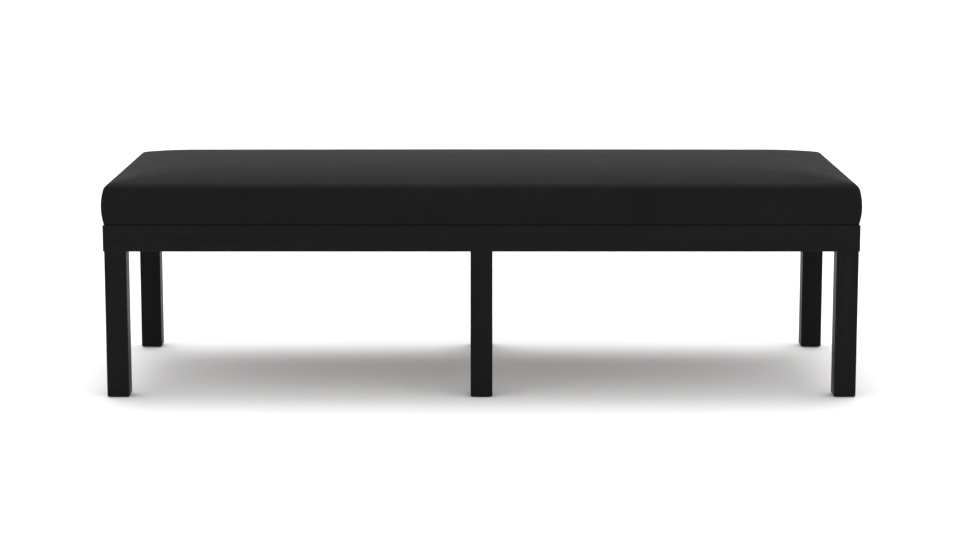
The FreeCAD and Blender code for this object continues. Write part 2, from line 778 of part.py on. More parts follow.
def make_legs():
    places = []
    for name, (side_x, side_y) in LEGS.items():
        make_leg(name, side_x, side_y)
        places.append(leg_place(side_x, side_y))
    for name, (side_x, side_y) in LEGS.items():
        make_glide(name, side_x, side_y)
    pocket = f"{RAIL_TOP} - bolt_pocket_depth"
    washer = flat_washer("leg_washer", "washer_radius", WASHER_HOLE, "washer_thickness")
    fittings = (
        ("glide_screws", glide_screw(), "glide_screw_sink"),
        ("leg_hanger_bolts", leg_bolt(), "underside_height - bolt_leg_depth"),
        ("leg_washers", washer, pocket),
        ("leg_nuts", leg_nut(), f"{pocket} + washer_thickness"),
    )
    for name, source, height in fittings:
        copies(name, source, [(x, y, height, UP) for x, y in places])


# The deck, and what holds it to the frame

def seat_screw_places():
    """Two seat screws in each cross rail and one in each end rail, seen from above."""
    places = []
    for quarter in CROSS_RAILS.values():
        for sign in (-1, 1):
            places.append((f"{quarter} * frame_length / 4", f"{sign} * frame_depth / 4"))
    for sign in (-1, 1):
        places.append((f"{sign} * (frame_length / 2 - rail_thickness / 2)", "0"))
    return places


def seat_screw():
    """A hexagon-head screw that points up, with the underside of its head on Z = 0."""
    body = new_body("seat_screw", kept=False)
    hexagon(body, "head", "seat_screw_head_width", "seat_screw_head_height",
            "-seat_screw_head_height")
    rod(body, "shank", "seat_screw_radius", SEAT_SCREW_LENGTH)
    soften(body, "end_bevel", "Chamfer", "Size", "seat_screw_bevel", upper_circle)
    return body


def seat_insert():
    """A flanged threaded insert whose barrel hangs below Z = 0."""
    body = new_body("seat_insert", kept=False)
    rod(body, "barrel", INSERT_BARREL, "insert_length", z="-insert_length")
    rod(body, "flange", "insert_flange_radius", "insert_flange_thickness")
    whole = "insert_length + insert_flange_thickness"
    drill(body, "thread", "seat_screw_radius + thread_clearance", whole, z="-insert_length")
    return body


def make_deck():
    """A plywood board with air holes, drilled for the threaded inserts of the seat screws."""
    blank = new_body("deck_board", kept=False)
    box(blank, "board", f"frame_length - 2 * {DECK_INSET}", f"frame_depth - 2 * {DECK_INSET}",
        "deck_thickness")
    soften(blank, "corners", "Fillet", "Radius", "deck_corner_radius", upright_edge)
    for number, (x, y) in enumerate(seat_screw_places(), start=1):
        drill(blank, f"insert_{number}_hole", f"{INSERT_BARREL} + insert_clearance",
              "deck_thickness", x, y)
        recess = "insert_flange_thickness + insert_sink"
        drill(blank, f"insert_{number}_recess", "insert_flange_radius + insert_clearance",
              recess, x, y, f"deck_thickness - ({recess})")
    for eighth in (-3, -1, 1, 3):
        for name, sign in (("front", -1), ("back", 1)):
            drill(blank, f"{name}_vent_{eighth + 4}", "vent_radius", "deck_thickness",
                  f"{eighth} * frame_length / 8", f"{sign} * frame_depth / 6")
    bind_place(blank, "Placement", "0", "0", DECK_BOTTOM)
    return blank


def make_seat_fixings():
    places = seat_screw_places()
    head = f"{SEAT_SCREW_SEAT} - seat_washer_thickness"
    washer = flat_washer("seat_screw_washer", "seat_washer_radius",
                         "seat_screw_radius + seat_washer_clearance", "seat_washer_thickness")
    copies("seat_insert_nuts", seat_insert(), [(x, y, INSERT_SEAT, UP) for x, y in places])
    copies("seat_screws", seat_screw(), [(x, y, head, UP) for x, y in places])
    copies("seat_screw_washers", washer, [(x, y, head, UP) for x, y in places])


# The staples and their slots

def staple(name, clearance):
    """A staple along X that points up from Z = 0, drawn larger by a clearance for its slot."""
    body = new_body(name, kept=False)
    wire = f"staple_wire_thickness + 2 * {clearance}"
    across = f"staple_wire_width + 2 * {clearance}"
    box(body, "crown", f"staple_width + 2 * {clearance}", across, wire, z=f"-{clearance}")
    for side, sign in (("left", -1), ("right", 1)):
        box(body, f"{side}_leg", wire, across, f"staple_length + 2 * {clearance}",
            f"{sign} * (staple_width - staple_wire_thickness) / 2", z=f"-{clearance}")
    return body


def staple_row(inset, along, across, height):
    """Even rows of staples round the seat, each in line with its side."""
    spots = []
    turned = Rotation(Vector(0, 0, 1), 90)
    for number in range(along):
        x = f"({number + 0.5} / {along} - 0.5) * (frame_length - 2 * {inset})"
        for sign in (-1, 1):
            spots.append((x, f"{sign} * (frame_depth / 2 - {inset})", height, UP))
    for number in range(across):
        y = f"({number + 0.5} / {across} - 0.5) * (frame_depth - 2 * {inset})"
        for sign in (-1, 1):
            spots.append((f"{sign} * (frame_length / 2 - {inset})", y, height, turned))
    return spots


def make_staples():
    """Both kinds of staples, and one group of slot cutters for each kind."""
    pin = staple("staple", "0")
    slot = staple("staple_slot", "staple_clearance")
    cover = staple_row(COVER_STAPLE_INSET, COVER_STAPLES_ALONG, COVER_STAPLES_ACROSS, RAIL_TOP)
    dust = staple_row(DUST_STAPLE_INSET, DUST_STAPLES_ALONG, DUST_STAPLES_ACROSS,
                      f"{RAIL_TOP} - staple_wire_thickness")
    copies("cover_staples", pin, cover)
    copies("dust_cover_staples", pin, dust)
    cover_slots = copies("cover_staple_slots", slot, cover, kept=False)
    dust_slots = copies("dust_staple_slots", slot, dust, kept=False)
    return cover_slots, dust_slots


# The cushion's outline

def cushion_levels(side_offset, top_offset, floor):
    """Lists inset, height and corner radius up the cushion, moved in by the two offsets.

    The outline rolls in below to a flat base, or runs straight down to a floor if it has one.
    """
    lean = math.radians(size("side_lean"))
    end = math.radians(size("shoulder_end"))
    roll = size("roll_radius")
    inset = size("cushion_inset")
    shoulder = size("shoulder_radius")
    low = roll * (1 - math.sin(lean))
    high = size("side_height")
    side_radius = (high - low) / 2 / math.sin(lean)
    side_centre = inset + side_radius * math.cos(lean)
    levels = []

    def arc_level(centre_u, centre_z, radius, angle):
        levels.append((centre_u - radius * math.cos(angle), centre_z + radius * math.sin(angle)))

    if floor is None:
        for step in range(ROLL_LEVELS):
            angle = math.radians(-90) + (math.radians(90) - lean) * step / ROLL_LEVELS
            arc_level(inset + roll * math.cos(lean), roll, roll - side_offset, angle)
    else:
        levels.append((inset + side_offset * math.cos(lean), floor))
    for step in range(SIDE_LEVELS):
        angle = -lean + 2 * lean * step / (SIDE_LEVELS - 1)
        arc_level(side_centre, (low + high) / 2, side_radius - side_offset, angle)
    shoulder_u = inset + shoulder * math.cos(lean)
    shoulder_z = high - shoulder * math.sin(lean)
    for step in range(1, SHOULDER_LEVELS + 1):
        share = step / SHOULDER_LEVELS
        angle = lean + (end - lean) * share
        offset = side_offset + (top_offset - side_offset) * share
        arc_level(shoulder_u, shoulder_z, shoulder - offset, angle)
    crown_u = shoulder_u - shoulder * math.cos(end)
    crown_z = shoulder_z + shoulder * math.sin(end)
    span = size("frame_depth") / 2 - crown_u
    rise = size("crown_rise")
    power = size("crown_power")
    for step in range(1, CROWN_LEVELS):
        share = (step / CROWN_LEVELS) ** CROWN_CROWDING
        slope = rise * power * (1 - share) ** (power - 1) / span
        tilt = math.hypot(1, slope)
        u = crown_u + span * share + top_offset * slope / tilt
        z = crown_z + rise * (1 - (1 - share) ** power) - top_offset / tilt
        levels.append((u, z))
    half_depth = size("frame_depth") / 2
    corner = max(size("cushion_corner_radius") - side_offset, 1)
    growth = size("crown_corner_growth")
    sections = []
    for u, z in levels:
        radius = min(corner + growth * max(u - crown_u, 0), CROWN_CORNER_SHARE * (half_depth - u))
        sections.append((u, z, radius))
    return sections


def rounded_rectangle(half_x, half_y, radius, z):
    """A level outline of four lines and four quarter arcs round the Z axis."""
    corners = ((1, 1, 0), (-1, 1, 90), (-1, -1, 180), (1, -1, 270))
    arcs = []
    for sign_x, sign_y, start in corners:
        centre = Vector(sign_x * (half_x - radius), sign_y * (half_y - radius), z)
        points = []
        for angle in (start, start + 45, start + 90):
            turn = math.radians(angle)
            points.append(centre + Vector(radius * math.cos(turn), radius * math.sin(turn), 0))
        arcs.append(Part.Arc(*points))
    edges = []
    for number, arc in enumerate(arcs):
        following = arcs[(number + 1) % len(arcs)]
        edges.append(arc.toShape())
        edges.append(Part.LineSegment(arc.EndPoint, following.StartPoint).toShape())
    return Part.Wire(edges)


def cushion_solid(name, side_offset, top_offset, floor=None):
    """A loft over the cushion's levels, moved in from the leather's outer face."""
    half_x = size("frame_length") / 2
    half_y = size("frame_depth") / 2
    outlines = []
    for u, z, radius in cushion_levels(side_offset, top_offset, floor):
        outlines.append(rounded_rectangle(half_x - u, half_y - u, radius, z))
    solid = doc.addObject("Part::Feature", name)
    solid.Shape = Part.makeLoft(outlines, True, True)
    bind(solid, "Placement.Base.z", RAIL_TOP)
    return solid


def make_cover(staple_slots):
    """The leather: a thin shell round the cushion, turned in below the deck and stapled."""
    outside = cushion_solid("cover_outside", 0, 0)
    leather = size("leather_thickness")
    inside = cushion_solid("cover_inside", leather, leather)
    shell = boolean("Cut", "cover_shell", outside, inside, kept=False)
    window = new_body("tuck_window", kept=False)
    box(window, "window", f"frame_length - 2 * {COVER_TUCK}", f"frame_depth - 2 * {COVER_TUCK}",
        "leather_thickness")
    soften(window, "corners", "Fillet", "Radius", "tuck_corner_radius", upright_edge)
    bind_place(window, "Placement", "0", "0", RAIL_TOP)
    punch = new_body("tuck_punch", kept=False)
    rod(punch, "punch", "seat_screw_radius + seat_screw_clearance", "leather_thickness")
    ends = [(x, y, RAIL_TOP, UP) for x, y in seat_screw_places() if y == "0"]
    punches = copies("tuck_punches", punch, ends, kept=False)
    boolean("Cut", "seat_cover", shell, group("cover_cutters", [window, punches, staple_slots]))


def make_filling():
    """The batting, and the two layers of foam below it."""
    gap = size("layer_gap")
    outer = size("leather_thickness") + gap
    side = outer + size("batting_side")
    top = outer + size("batting_top")
    outside = cushion_solid("batting_outside", outer, outer)
    inside = cushion_solid("batting_inside", side, top, floor=0)
    boolean("Cut", "batting_wrap", outside, inside)
    core = cushion_solid("foam_core", side + gap, top + gap, floor=0)
    slab = doc.addObject("Part::Box", "foam_slab")
    bind(slab, "Length", "2 * frame_length")
    bind(slab, "Width", "2 * frame_depth")
    bind(slab, "Height", "foam_base_thickness")
    bind_place(slab, "Placement", "-frame_length", "-frame_depth", DECK_TOP)
    boolean("Common", "foam_base", core, slab)
    under = doc.addObject("Part::Box", "below_topper")
    bind(under, "Length", "2 * frame_length")
    bind(under, "Width", "2 * frame_depth")
    bind(under, "Height", f"{DECK_TOP} + foam_base_thickness")
    bind_place(under, "Placement", "-frame_length", "-frame_depth", "0")
    boolean("Cut", "foam_topper", core, under)


def make_dust_cover(staple_slots):
    """A thin black cloth that closes the underside between the rails."""
    cloth = new_body("dust_cloth", kept=False)
    box(cloth, "cloth", f"frame_length - 2 * {DUST_COVER_INSET}",
        f"frame_depth - 2 * {DUST_COVER_INSET}", "dust_cover_thickness")
    soften(cloth, "corners", "Fillet", "Radius", "dust_cover_corner_radius", upright_edge)
    for number, (x, y) in enumerate(seat_screw_places(), start=1):
        if y != "0":
            drill(cloth, f"screw_{number}_hole", "seat_screw_radius + seat_screw_clearance",
                  "dust_cover_thickness", x, y)
    bind_place(cloth, "Placement", "0", "0", RAIL_TOP)
    boolean("Cut", "dust_cover", cloth, staple_slots)


# Building, testing and writing

def test_cuts():
    """Raises if a feature that should cut its body removed nothing."""
    for feature in doc.Objects:
        if feature.TypeId.startswith("PartDesign::Subtractive"):
            before = feature.BaseFeature.Shape.Volume
            if before - feature.Shape.Volume < 0.001:
                raise RuntimeError(f"{feature.Label} cuts nothing from its body")


def test_shapes():
    """Raises on any failed object, and on any sub-part without a sound solid."""
    for thing in doc.Objects:
        if "Invalid" in thing.State or "Error" in thing.State:
            raise RuntimeError(f"{thing.Label} failed: {thing.State}")
    for part in subparts:
        shape = part.Shape
        if shape.isNull() or not shape.isValid() or not shape.Solids:
            raise RuntimeError(f"{part.Label} has no sound solid")


def write_steps():
    os.makedirs("parts", exist_ok=True)
    for part in subparts:
        solids = part.Shape.Solids
        shape = solids[0] if len(solids) == 1 else Part.makeCompound(solids)
        shape.exportStep(f"parts/{part.Label}.step")


make_rails()
make_cross_rails()
make_corner_blocks()
make_dowels()
make_legs()
cover_slots, dust_slots = make_staples()
board = make_deck()
boolean("Cut", "seat_deck", board, group("deck_cutters", [cover_slots, dust_slots]))
make_seat_fixings()
make_filling()
make_cover(cover_slots)
make_dust_cover(dust_slots)
doc.recompute()
test_shapes()
test_cuts()
write_steps()
print(f"{len(subparts)} sub-parts written")
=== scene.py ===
"""The upholstered bench: its seat cover, filling, seams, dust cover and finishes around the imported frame."""

import math

import bmesh
import bpy
import numpy as np
from bpy.props import FloatProperty, FloatVectorProperty, IntProperty, PointerProperty
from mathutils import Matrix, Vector


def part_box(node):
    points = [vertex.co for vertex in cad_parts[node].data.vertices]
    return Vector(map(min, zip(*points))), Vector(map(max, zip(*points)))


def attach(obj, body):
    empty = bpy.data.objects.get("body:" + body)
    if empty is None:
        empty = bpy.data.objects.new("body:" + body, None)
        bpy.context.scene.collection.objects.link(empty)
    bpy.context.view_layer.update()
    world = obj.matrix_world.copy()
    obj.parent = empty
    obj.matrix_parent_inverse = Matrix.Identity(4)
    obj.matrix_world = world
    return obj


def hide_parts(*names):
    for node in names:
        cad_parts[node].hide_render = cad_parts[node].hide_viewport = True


bl_info = {
    "name": "Upholstered Bench",
    "version": (1, 0, 0),
    "blender": (4, 5, 0),
    "location": "View3D > Sidebar > Bench",
    "description": "Makes the bench's seat, seams, dust cover and finishes around its frame",
    "category": "Object",
}

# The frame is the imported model.
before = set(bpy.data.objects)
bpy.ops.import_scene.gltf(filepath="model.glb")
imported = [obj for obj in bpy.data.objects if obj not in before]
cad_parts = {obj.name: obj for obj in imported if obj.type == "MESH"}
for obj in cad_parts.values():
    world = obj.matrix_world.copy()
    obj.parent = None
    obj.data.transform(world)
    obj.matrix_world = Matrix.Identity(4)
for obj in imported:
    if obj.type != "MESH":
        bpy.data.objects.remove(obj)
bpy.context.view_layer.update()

# Places that the finished pieces take from the frame, in metres
RAIL_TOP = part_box("front_rail")[1].z
RAIL_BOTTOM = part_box("front_rail")[0].z
HALF_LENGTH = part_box("right_end_rail")[1].x
HALF_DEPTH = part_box("back_rail")[1].y
DECK_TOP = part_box("seat_deck")[1].z
FOAM_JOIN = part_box("foam_base")[1].z
DUST_LOW, DUST_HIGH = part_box("dust_cover")

# Share of an eighth turn at which the points of a rounded corner stand, close together at the seam
CORNER_STEPS = (0.0, 0.03, 0.08, 0.18, 0.33, 0.53, 0.76, 1.0)
# Radius of the tightest corner that any layer may have
LEAST_CORNER = 0.0015
# Inset at which the level lines of the top end and a grid fills the rest
GRID_INSET = 0.060

# Frames after which the swelling leather is at rest
SWELL_FRAMES = 20

# The staples under the deck: how far the cloth's rows stand inside the rails' faces, and the leather's pitch
DUST_STAPLE_INSET = 0.052
COVER_STAPLE_PITCH = 0.0753

ORIGIN = (0.0, 0.0, 0.0)
QUARTER_TURN = math.pi / 2.0
FULL_TURN = 2.0 * math.pi

# Turns that lay the grain of a wood along each axis, and across a corner
ALONG_X = (0.0, 0.0, 0.0)
ALONG_Y = (0.0, 0.0, QUARTER_TURN)
ALONG_Z = (0.0, QUARTER_TURN, 0.0)
SLANTED = (0.0, 0.0, QUARTER_TURN / 2.0)


# Sizes and colours that a user may change

def number(name, default, description, **limits):
    """A plain number."""
    return FloatProperty(name=name, description=description, default=default, **limits)


def whole_number(name, default, description, **limits):
    """A whole number."""
    return IntProperty(name=name, description=description, default=default, **limits)


def length(name, default, description, **limits):
    """A length in metres."""
    return number(name, default, description, subtype="DISTANCE", unit="LENGTH", **limits)


def angle(name, degrees, description):
    """An angle, given here in degrees."""
    return number(name, math.radians(degrees), description, subtype="ANGLE", unit="ROTATION")


def three_numbers(name, default, description, **limits):
    """Three numbers."""
    return FloatVectorProperty(name=name, description=description, default=default, size=3, **limits)


def colour(name, default, description):
    """A colour in linear light."""
    return three_numbers(name, default, description, subtype="COLOR", min=0.0, max=1.0)


class CushionSettings(bpy.types.PropertyGroup):
    side_height: length("Side Height", 0.069, "Height of the side above the rail", min=0.02)
    side_lean: angle("Side Lean", 13.8, "How far the bulging side leans out at its foot and in at its top")
    side_inset: length("Side Inset", 0.001, "How far the side's foot stands behind the face of the rail")
    base_roll: length("Base Roll", 0.0035, "Radius with which the leather turns under the deck")
    tuck: length("Tuck", 0.0425, "How far the leather reaches in under the deck from the face of the rail")
    shoulder_radius: length("Shoulder Radius", 0.020, "Radius of the soft edge between the side and the top")
    shoulder_end: angle("Shoulder End", 76.0, "Angle from upright at which the shoulder runs into the crown")
    crown_rise: length("Crown Rise", 0.0194, "How much the top rises before the filling pushes it out")
    crown_power: number("Crown Fullness", 3.4, "Higher numbers make the top flatter in the middle", min=1.5)
    corner_radius: length("Corner Radius", 0.009, "Radius of the upright corners, seen from above")
    corner_spread: number("Corner Spread", 0.7, "How quickly the corners widen across the top")
    leather: length("Leather Thickness", 0.0012, "Thickness of the hide")
    clearance: length("Layer Clearance", 0.0003, "Room between one layer and the next")
    side_batting: length("Side Batting", 0.003, "Thickness of the batting at the sides")
    top_batting: length("Top Batting", 0.008, "Thickness of the batting on top")
    fill_pressure: number("Fill Pressure", 0.04, "How hard the filling pushes the stapled leather out")
    hide_stiffness: number("Hide Stiffness", 40.0, "How much the leather resists being stretched")
    swell_limit: length("Swell Limit", 0.004, "The furthest that the filling may push the leather out")
    unevenness: length("Unevenness", 0.00008, "How far the hand-pulled leather strays from its even shape")
    seam_depth: length("Seam Depth", 0.0007, "Depth of the groove of the upright corner seams")


class StitchSettings(bpy.types.PropertyGroup):
    spacing: length("Stitch Spacing", 0.0032, "Distance from one stitch to the next along a corner seam")
    width: length("Stitch Width", 0.0019, "How far a stitch reaches across the seam")
    thread: length("Thread Thickness", 0.0004, "Diameter of the sewing thread")
    seed: whole_number("Seed", 4, "Number that fixes the small turns of the stitches")


class DustCoverSettings(bpy.types.PropertyGroup):
    sag: length("Sag", 0.0022, "How far the cloth hangs in the middle of each bay")
    pucker: length("Pucker", 0.00022, "Height of the small waves between the staples")
    staples_along: whole_number("Staples Along", 18, "Staples in each long row", min=2)
    staples_across: whole_number("Staples Across", 6, "Staples in each short row", min=2)


class FinishSettings(bpy.types.PropertyGroup):
    leather: colour("Leather", (0.0074, 0.00745, 0.0075), "Colour of the hide")
    wood: colour("Stained Wood", (0.0067, 0.00675, 0.0069), "Colour of the rails and legs")
    beech: colour("Beech", (0.53, 0.36, 0.22), "Colour of the bare cross rails, corner blocks and dowels")
    plywood: colour("Plywood", (0.60, 0.44, 0.27), "Colour of the seat deck")
    foam: colour("Foam", (0.78, 0.70, 0.50), "Colour of the foam")
    batting: colour("Batting", (0.82, 0.82, 0.80), "Colour of the polyester batting")
    cambric: colour("Dust Cover", (0.014, 0.014, 0.015), "Colour of the cloth under the seat")
    steel: colour("Zinc Plate", (0.56, 0.57, 0.58), "Colour of the plated screws, bolts and staples")
    nylon: colour("Nylon", (0.010, 0.010, 0.011), "Colour of the glides under the legs")


class StageSettings(bpy.types.PropertyGroup):
    lens: number("Lens", 95.7, "Focal length in millimetres on a sensor 36 mm wide")
    place: three_numbers(
        "Camera Place",
        (-0.003, -5.366, 1.091),
        "Where the camera stands",
        subtype="TRANSLATION",
        unit="LENGTH",
    )
    pitch: angle("Camera Pitch", 9.27, "How far the camera looks down")
    floor: colour("Floor", (0.90, 0.895, 0.893), "Colour of the pale floor")
    daylight: number("Surrounding Light", 1.09, "Strength of the even light from all round")
    frontlight: number("Front Light", 0.12, "Share by which the light is stronger from the front")
    overhead: number("Overhead Light", 1.5, "Strength of the soft light above, in watts a square metre")
    overhead_width: angle("Overhead Width", 40.0, "How broad the soft light above looks from the floor")
    overhead_tilt: angle("Overhead Tilt", 17.0, "How far the soft light above stands behind the bench")


# Shader building blocks

def shade(base, factor):
    """A colour made lighter or darker, with its alpha."""
    return tuple(min(1.0, part * factor) for part in base[:3]) + (1.0,)


class Nodes:
    """Adds nodes to one tree. Every input may be a plain value or another node's output."""

    def __init__(self, tree):
        self.tree = tree

    def feed(self, socket, value):
        """Sets an input, or links it to an output."""
        if isinstance(value, bpy.types.NodeSocket):
            self.tree.links.new(value, socket)
        else:
            socket.default_value = value

    def add(self, kind, inputs=None, **options):
        """Adds a node, sets its options and then its inputs by name or number. Returns its outputs."""
        made = self.tree.nodes.new(kind)
        for name, value in options.items():
            setattr(made, name, value)
        for name, value in (inputs or {}).items():
            self.feed(made.inputs[name], value)
        return made.outputs

    def math(self, operation, first, second=0.0, **options):
        return self.add("ShaderNodeMath", {0: first, 1: second}, operation=operation, **options)[0]

    def plus(self, first, second):
        return self.math("ADD", first, second)

    def minus(self, first, second):
        return self.math("SUBTRACT", first, second)

    def times(self, first, second):
        return self.math("MULTIPLY", first, second)

    def vector_math(self, operation, first, inputs=None):
        return self.add("ShaderNodeVectorMath", {0: first, **(inputs or {})}, operation=operation)[0]

    def parts(self, vector):
        """The three parts of a vector."""
        return self.add("ShaderNodeSeparateXYZ", {0: vector})

    def mapped(self, vector, scale, turn=ORIGIN):
        """The vector turned and scaled."""
        return self.add("ShaderNodeMapping", {"Vector": vector, "Rotation": turn, "Scale": scale})[0]

    def noise(self, vector, scale, detail=2.0, roughness=0.5, distortion=0.0):
        """The value of a noise texture."""
        names = ("Vector", "Scale", "Detail", "Roughness", "Distortion")
        values = (vector, scale, detail, roughness, distortion)
        return self.add("ShaderNodeTexNoise", dict(zip(names, values)))[0]

    def cells(self, vector, scale, randomness=1.0, output="Distance", **options):
        """An output of a cell texture."""
        inputs = {"Vector": vector, "Scale": scale, "Randomness": randomness}
        return self.add("ShaderNodeTexVoronoi", inputs, **options)[output]

    def remap(self, value, from_low, from_high, to_low=0.0, to_high=1.0, smooth=False):
        """Maps one range of values to another and keeps the result inside it."""
        inputs = {0: value, 1: from_low, 2: from_high, 3: to_low, 4: to_high}
        kind = "SMOOTHSTEP" if smooth else "LINEAR"
        return self.add("ShaderNodeMapRange", inputs, clamp=True, interpolation_type=kind)[0]

    def blend(self, amount, first, second):
        """Mixes two colours by an amount from 0 to 1."""
        return self.add("ShaderNodeMix", {0: amount, 6: first, 7: second}, data_type="RGBA")[2]

    def shades(self, amount, base, dark, light):
        """Runs from a darker to a lighter shade of a colour."""
        return self.blend(amount, shade(base, dark), shade(base, light))

    def over(self, below, mask, amount, base, factor):
        """Lays a shade of a colour over another where a mask is."""
        return self.blend(self.times(mask, amount), below, shade(base, factor))


def shader_group(name, inputs, outputs, build):
    """A shader node group, built once. The build function gives the outputs' values by name."""
    if name in bpy.data.node_groups:
        return bpy.data.node_groups[name]
    nodes = Nodes(bpy.data.node_groups.new(name, "ShaderNodeTree"))
    new_socket = nodes.tree.interface.new_socket
    for label, default in inputs.items():
        kind = "NodeSocketVector" if isinstance(default, tuple) else "NodeSocketFloat"
        new_socket(name=label, in_out="INPUT", socket_type=kind).default_value = default
    for label in outputs:
        new_socket(name=label, in_out="OUTPUT", socket_type="NodeSocketFloat")
    nodes.add("NodeGroupOutput", build(nodes, nodes.add("NodeGroupInput")))
    return nodes.tree


def wood_grain_group():
    """Pores, growth figure and height of a wood whose grain runs along X."""

    def build(nodes, given):
        vector = given["Vector"]
        streaks = nodes.noise(nodes.mapped(vector, (38.0, 900.0, 900.0)), 1.0, 3.0, 0.6)
        cut = nodes.minus(0.78, nodes.times(given["Pore Density"], 0.25))
        pores = nodes.remap(streaks, cut, nodes.plus(cut, 0.09), smooth=True)
        spread = nodes.vector_math("SCALE", vector, {"Scale": given["Figure Scale"]})
        bands = nodes.noise(nodes.mapped(spread, (1.6, 34.0, 34.0)), 1.0, 3.0, 0.55, 0.6)
        fine = nodes.noise(nodes.mapped(vector, (12.0, 330.0, 330.0)), 1.0)
        figure = nodes.plus(nodes.times(bands, 0.7), nodes.times(fine, 0.3))
        return {"Pores": pores, "Figure": figure, "Height": nodes.minus(nodes.times(fine, 0.25), pores)}

    inputs = {"Vector": ORIGIN, "Pore Density": 0.5, "Figure Scale": 1.0}
    return shader_group("Wood Grain", inputs, ("Pores", "Figure", "Height"), build)


def edge_wear_group():
    """A mask that is 1 on the edges of a box and fades over a width, broken up by noise."""

    def build(nodes, given):
        vector = given["Vector"]
        away = nodes.vector_math("ABSOLUTE", nodes.vector_math("SUBTRACT", vector, {1: given["Centre"]}))
        inside = nodes.parts(nodes.vector_math("SUBTRACT", given["Half Size"], {1: away}))
        lower = nodes.math("MINIMUM", inside[0], inside[1])
        upper = nodes.math("MAXIMUM", inside[0], inside[1])
        middle = nodes.math("MAXIMUM", lower, nodes.math("MINIMUM", upper, inside[2]))
        near = nodes.remap(middle, 0.0, given["Width"], 1.0, 0.0, smooth=True)
        patchy = nodes.remap(nodes.noise(vector, 55.0, 4.0, 0.65), 0.40, 0.62, 0.15, 1.0)
        return {"Wear": nodes.math("MULTIPLY", nodes.times(near, patchy), given["Amount"], use_clamp=True)}

    inputs = {"Vector": ORIGIN, "Centre": ORIGIN, "Half Size": (1.0, 1.0, 1.0), "Width": 0.002, "Amount": 1.0}
    return shader_group("Edge Wear", inputs, ("Wear",), build)


def mottle_group():
    """Broad and fine unevenness of a finish, for its tone and its gloss."""

    def build(nodes, given):
        moved = nodes.vector_math("ADD", given["Vector"], {1: (3.1, 7.7, 1.9)})
        tone = nodes.noise(given["Vector"], given["Scale"], 4.0, 0.6)
        return {"Tone": tone, "Gloss": nodes.noise(moved, nodes.times(given["Scale"], 1.7), 3.0, 0.55)}

    return shader_group("Finish Mottle", {"Vector": ORIGIN, "Scale": 10.0}, ("Tone", "Gloss"), build)


class Surface(Nodes):
    """A material with a principled shader, whose patterns lie on the piece's own coordinates."""

    def __init__(self, name, mottle_scale=None):
        self.material = bpy.data.materials.new(name)
        self.material.use_nodes = True
        super().__init__(self.material.node_tree)
        self.tree.nodes.clear()
        self.shader = self.tree.nodes.new("ShaderNodeBsdfPrincipled")
        self.add("ShaderNodeOutputMaterial", {0: self.shader.outputs[0]})
        self.place = self.add("ShaderNodeTexCoord")["Object"]
        if mottle_scale:
            self.mottle = self.group(mottle_group(), {"Vector": self.place, "Scale": mottle_scale})

    def group(self, tree, inputs):
        """Places a shader node group with its own values."""
        return self.add("ShaderNodeGroup", inputs, node_tree=tree)

    def tone(self):
        """The mottle of the colour, from 0 to 1."""
        return self.remap(self.mottle["Tone"], 0.3, 0.7)

    def gloss(self, low, high):
        """The mottle of the roughness, between two values."""
        return self.remap(self.mottle["Gloss"], 0.3, 0.7, low, high)

    def turned(self, turn):
        """The piece's coordinates, turned."""
        return self.mapped(self.place, (1.0, 1.0, 1.0), turn)

    def grain(self, vector, pore_density, figure_scale):
        """The outputs of the wood grain, and its figure from 0 to 1."""
        values = {"Vector": vector, "Pore Density": pore_density, "Figure Scale": figure_scale}
        made = self.group(wood_grain_group(), values)
        return made, self.remap(made["Figure"], 0.35, 0.65)

    def finish(self, base, roughness, relief=None, others=None):
        """Feeds the shader. A relief is a height, its depth in metres and its strength."""
        values = {"Base Color": base, "Roughness": roughness, **(others or {})}
        if relief:
            height, depth, strength = relief
            inputs = {"Height": height, "Distance": depth, "Strength": strength}
            values["Normal"] = self.add("ShaderNodeBump", inputs)[0]
        for name, value in values.items():
            self.feed(self.shader.inputs[name], value)
        return self.material


# Materials

def leather_material(finish):
    """Smooth black hide with a fine pebble grain, painted shade in its creases and softly uneven gloss."""
    made = Surface("black_leather_finish", 9.0)
    warp = made.add("ShaderNodeTexNoise", {"Vector": made.place, "Scale": 420.0, "Detail": 1.0})["Color"]
    warp = made.vector_math("SUBTRACT", warp, {1: (0.5, 0.5, 0.5)})
    warp = made.vector_math("ADD", made.place, {1: made.vector_math("SCALE", warp, {"Scale": 0.0006})})
    pebbles = made.cells(warp, 640.0, 0.95, feature="DISTANCE_TO_EDGE")
    creases = made.remap(pebbles, 0.0, 0.16, smooth=True)
    pores = made.noise(made.place, 2600.0)
    drawn = made.noise(made.mapped(made.place, (26.0, 40.0, 40.0)), 1.0, 3.0)
    height = made.plus(made.times(creases, 0.75), made.times(pores, 0.25))
    height = made.plus(height, made.times(drawn, 0.6))
    base = made.shades(made.tone(), finish.leather, 0.9, 1.15)
    # Painted shade: the hide is darkened along the creases of its pebble grain.
    base = made.blend(made.remap(creases, 0.0, 1.0, 0.35, 0.0), base, shade(finish.leather, 0.6))
    gloss = made.plus(made.gloss(0.59, 0.62), made.remap(creases, 0.0, 1.0, 0.08, 0.0))
    return made.finish(base, gloss, (height, 0.00005, 0.55), {"Specular IOR Level": 0.052})


def thread_material(finish):
    """Waxed black thread with its twist, with painted highlights on the twist's crests and painted shade in
    its grooves.
    """
    made = Surface("waxed_thread")
    wave = {"Vector": made.place, "Scale": 1400.0, "Distortion": 0.4}
    twist = made.add("ShaderNodeTexWave", wave, bands_direction="DIAGONAL")["Fac"]
    # Painted highlight and shade: the thread is lighter on the raised crests of its twist and darker in its
    # grooves.
    base = made.shades(twist, finish.leather, 0.8, 1.8)
    return made.finish(base, 0.5, (twist, 0.00005, 0.8), {"Specular IOR Level": 0.2})


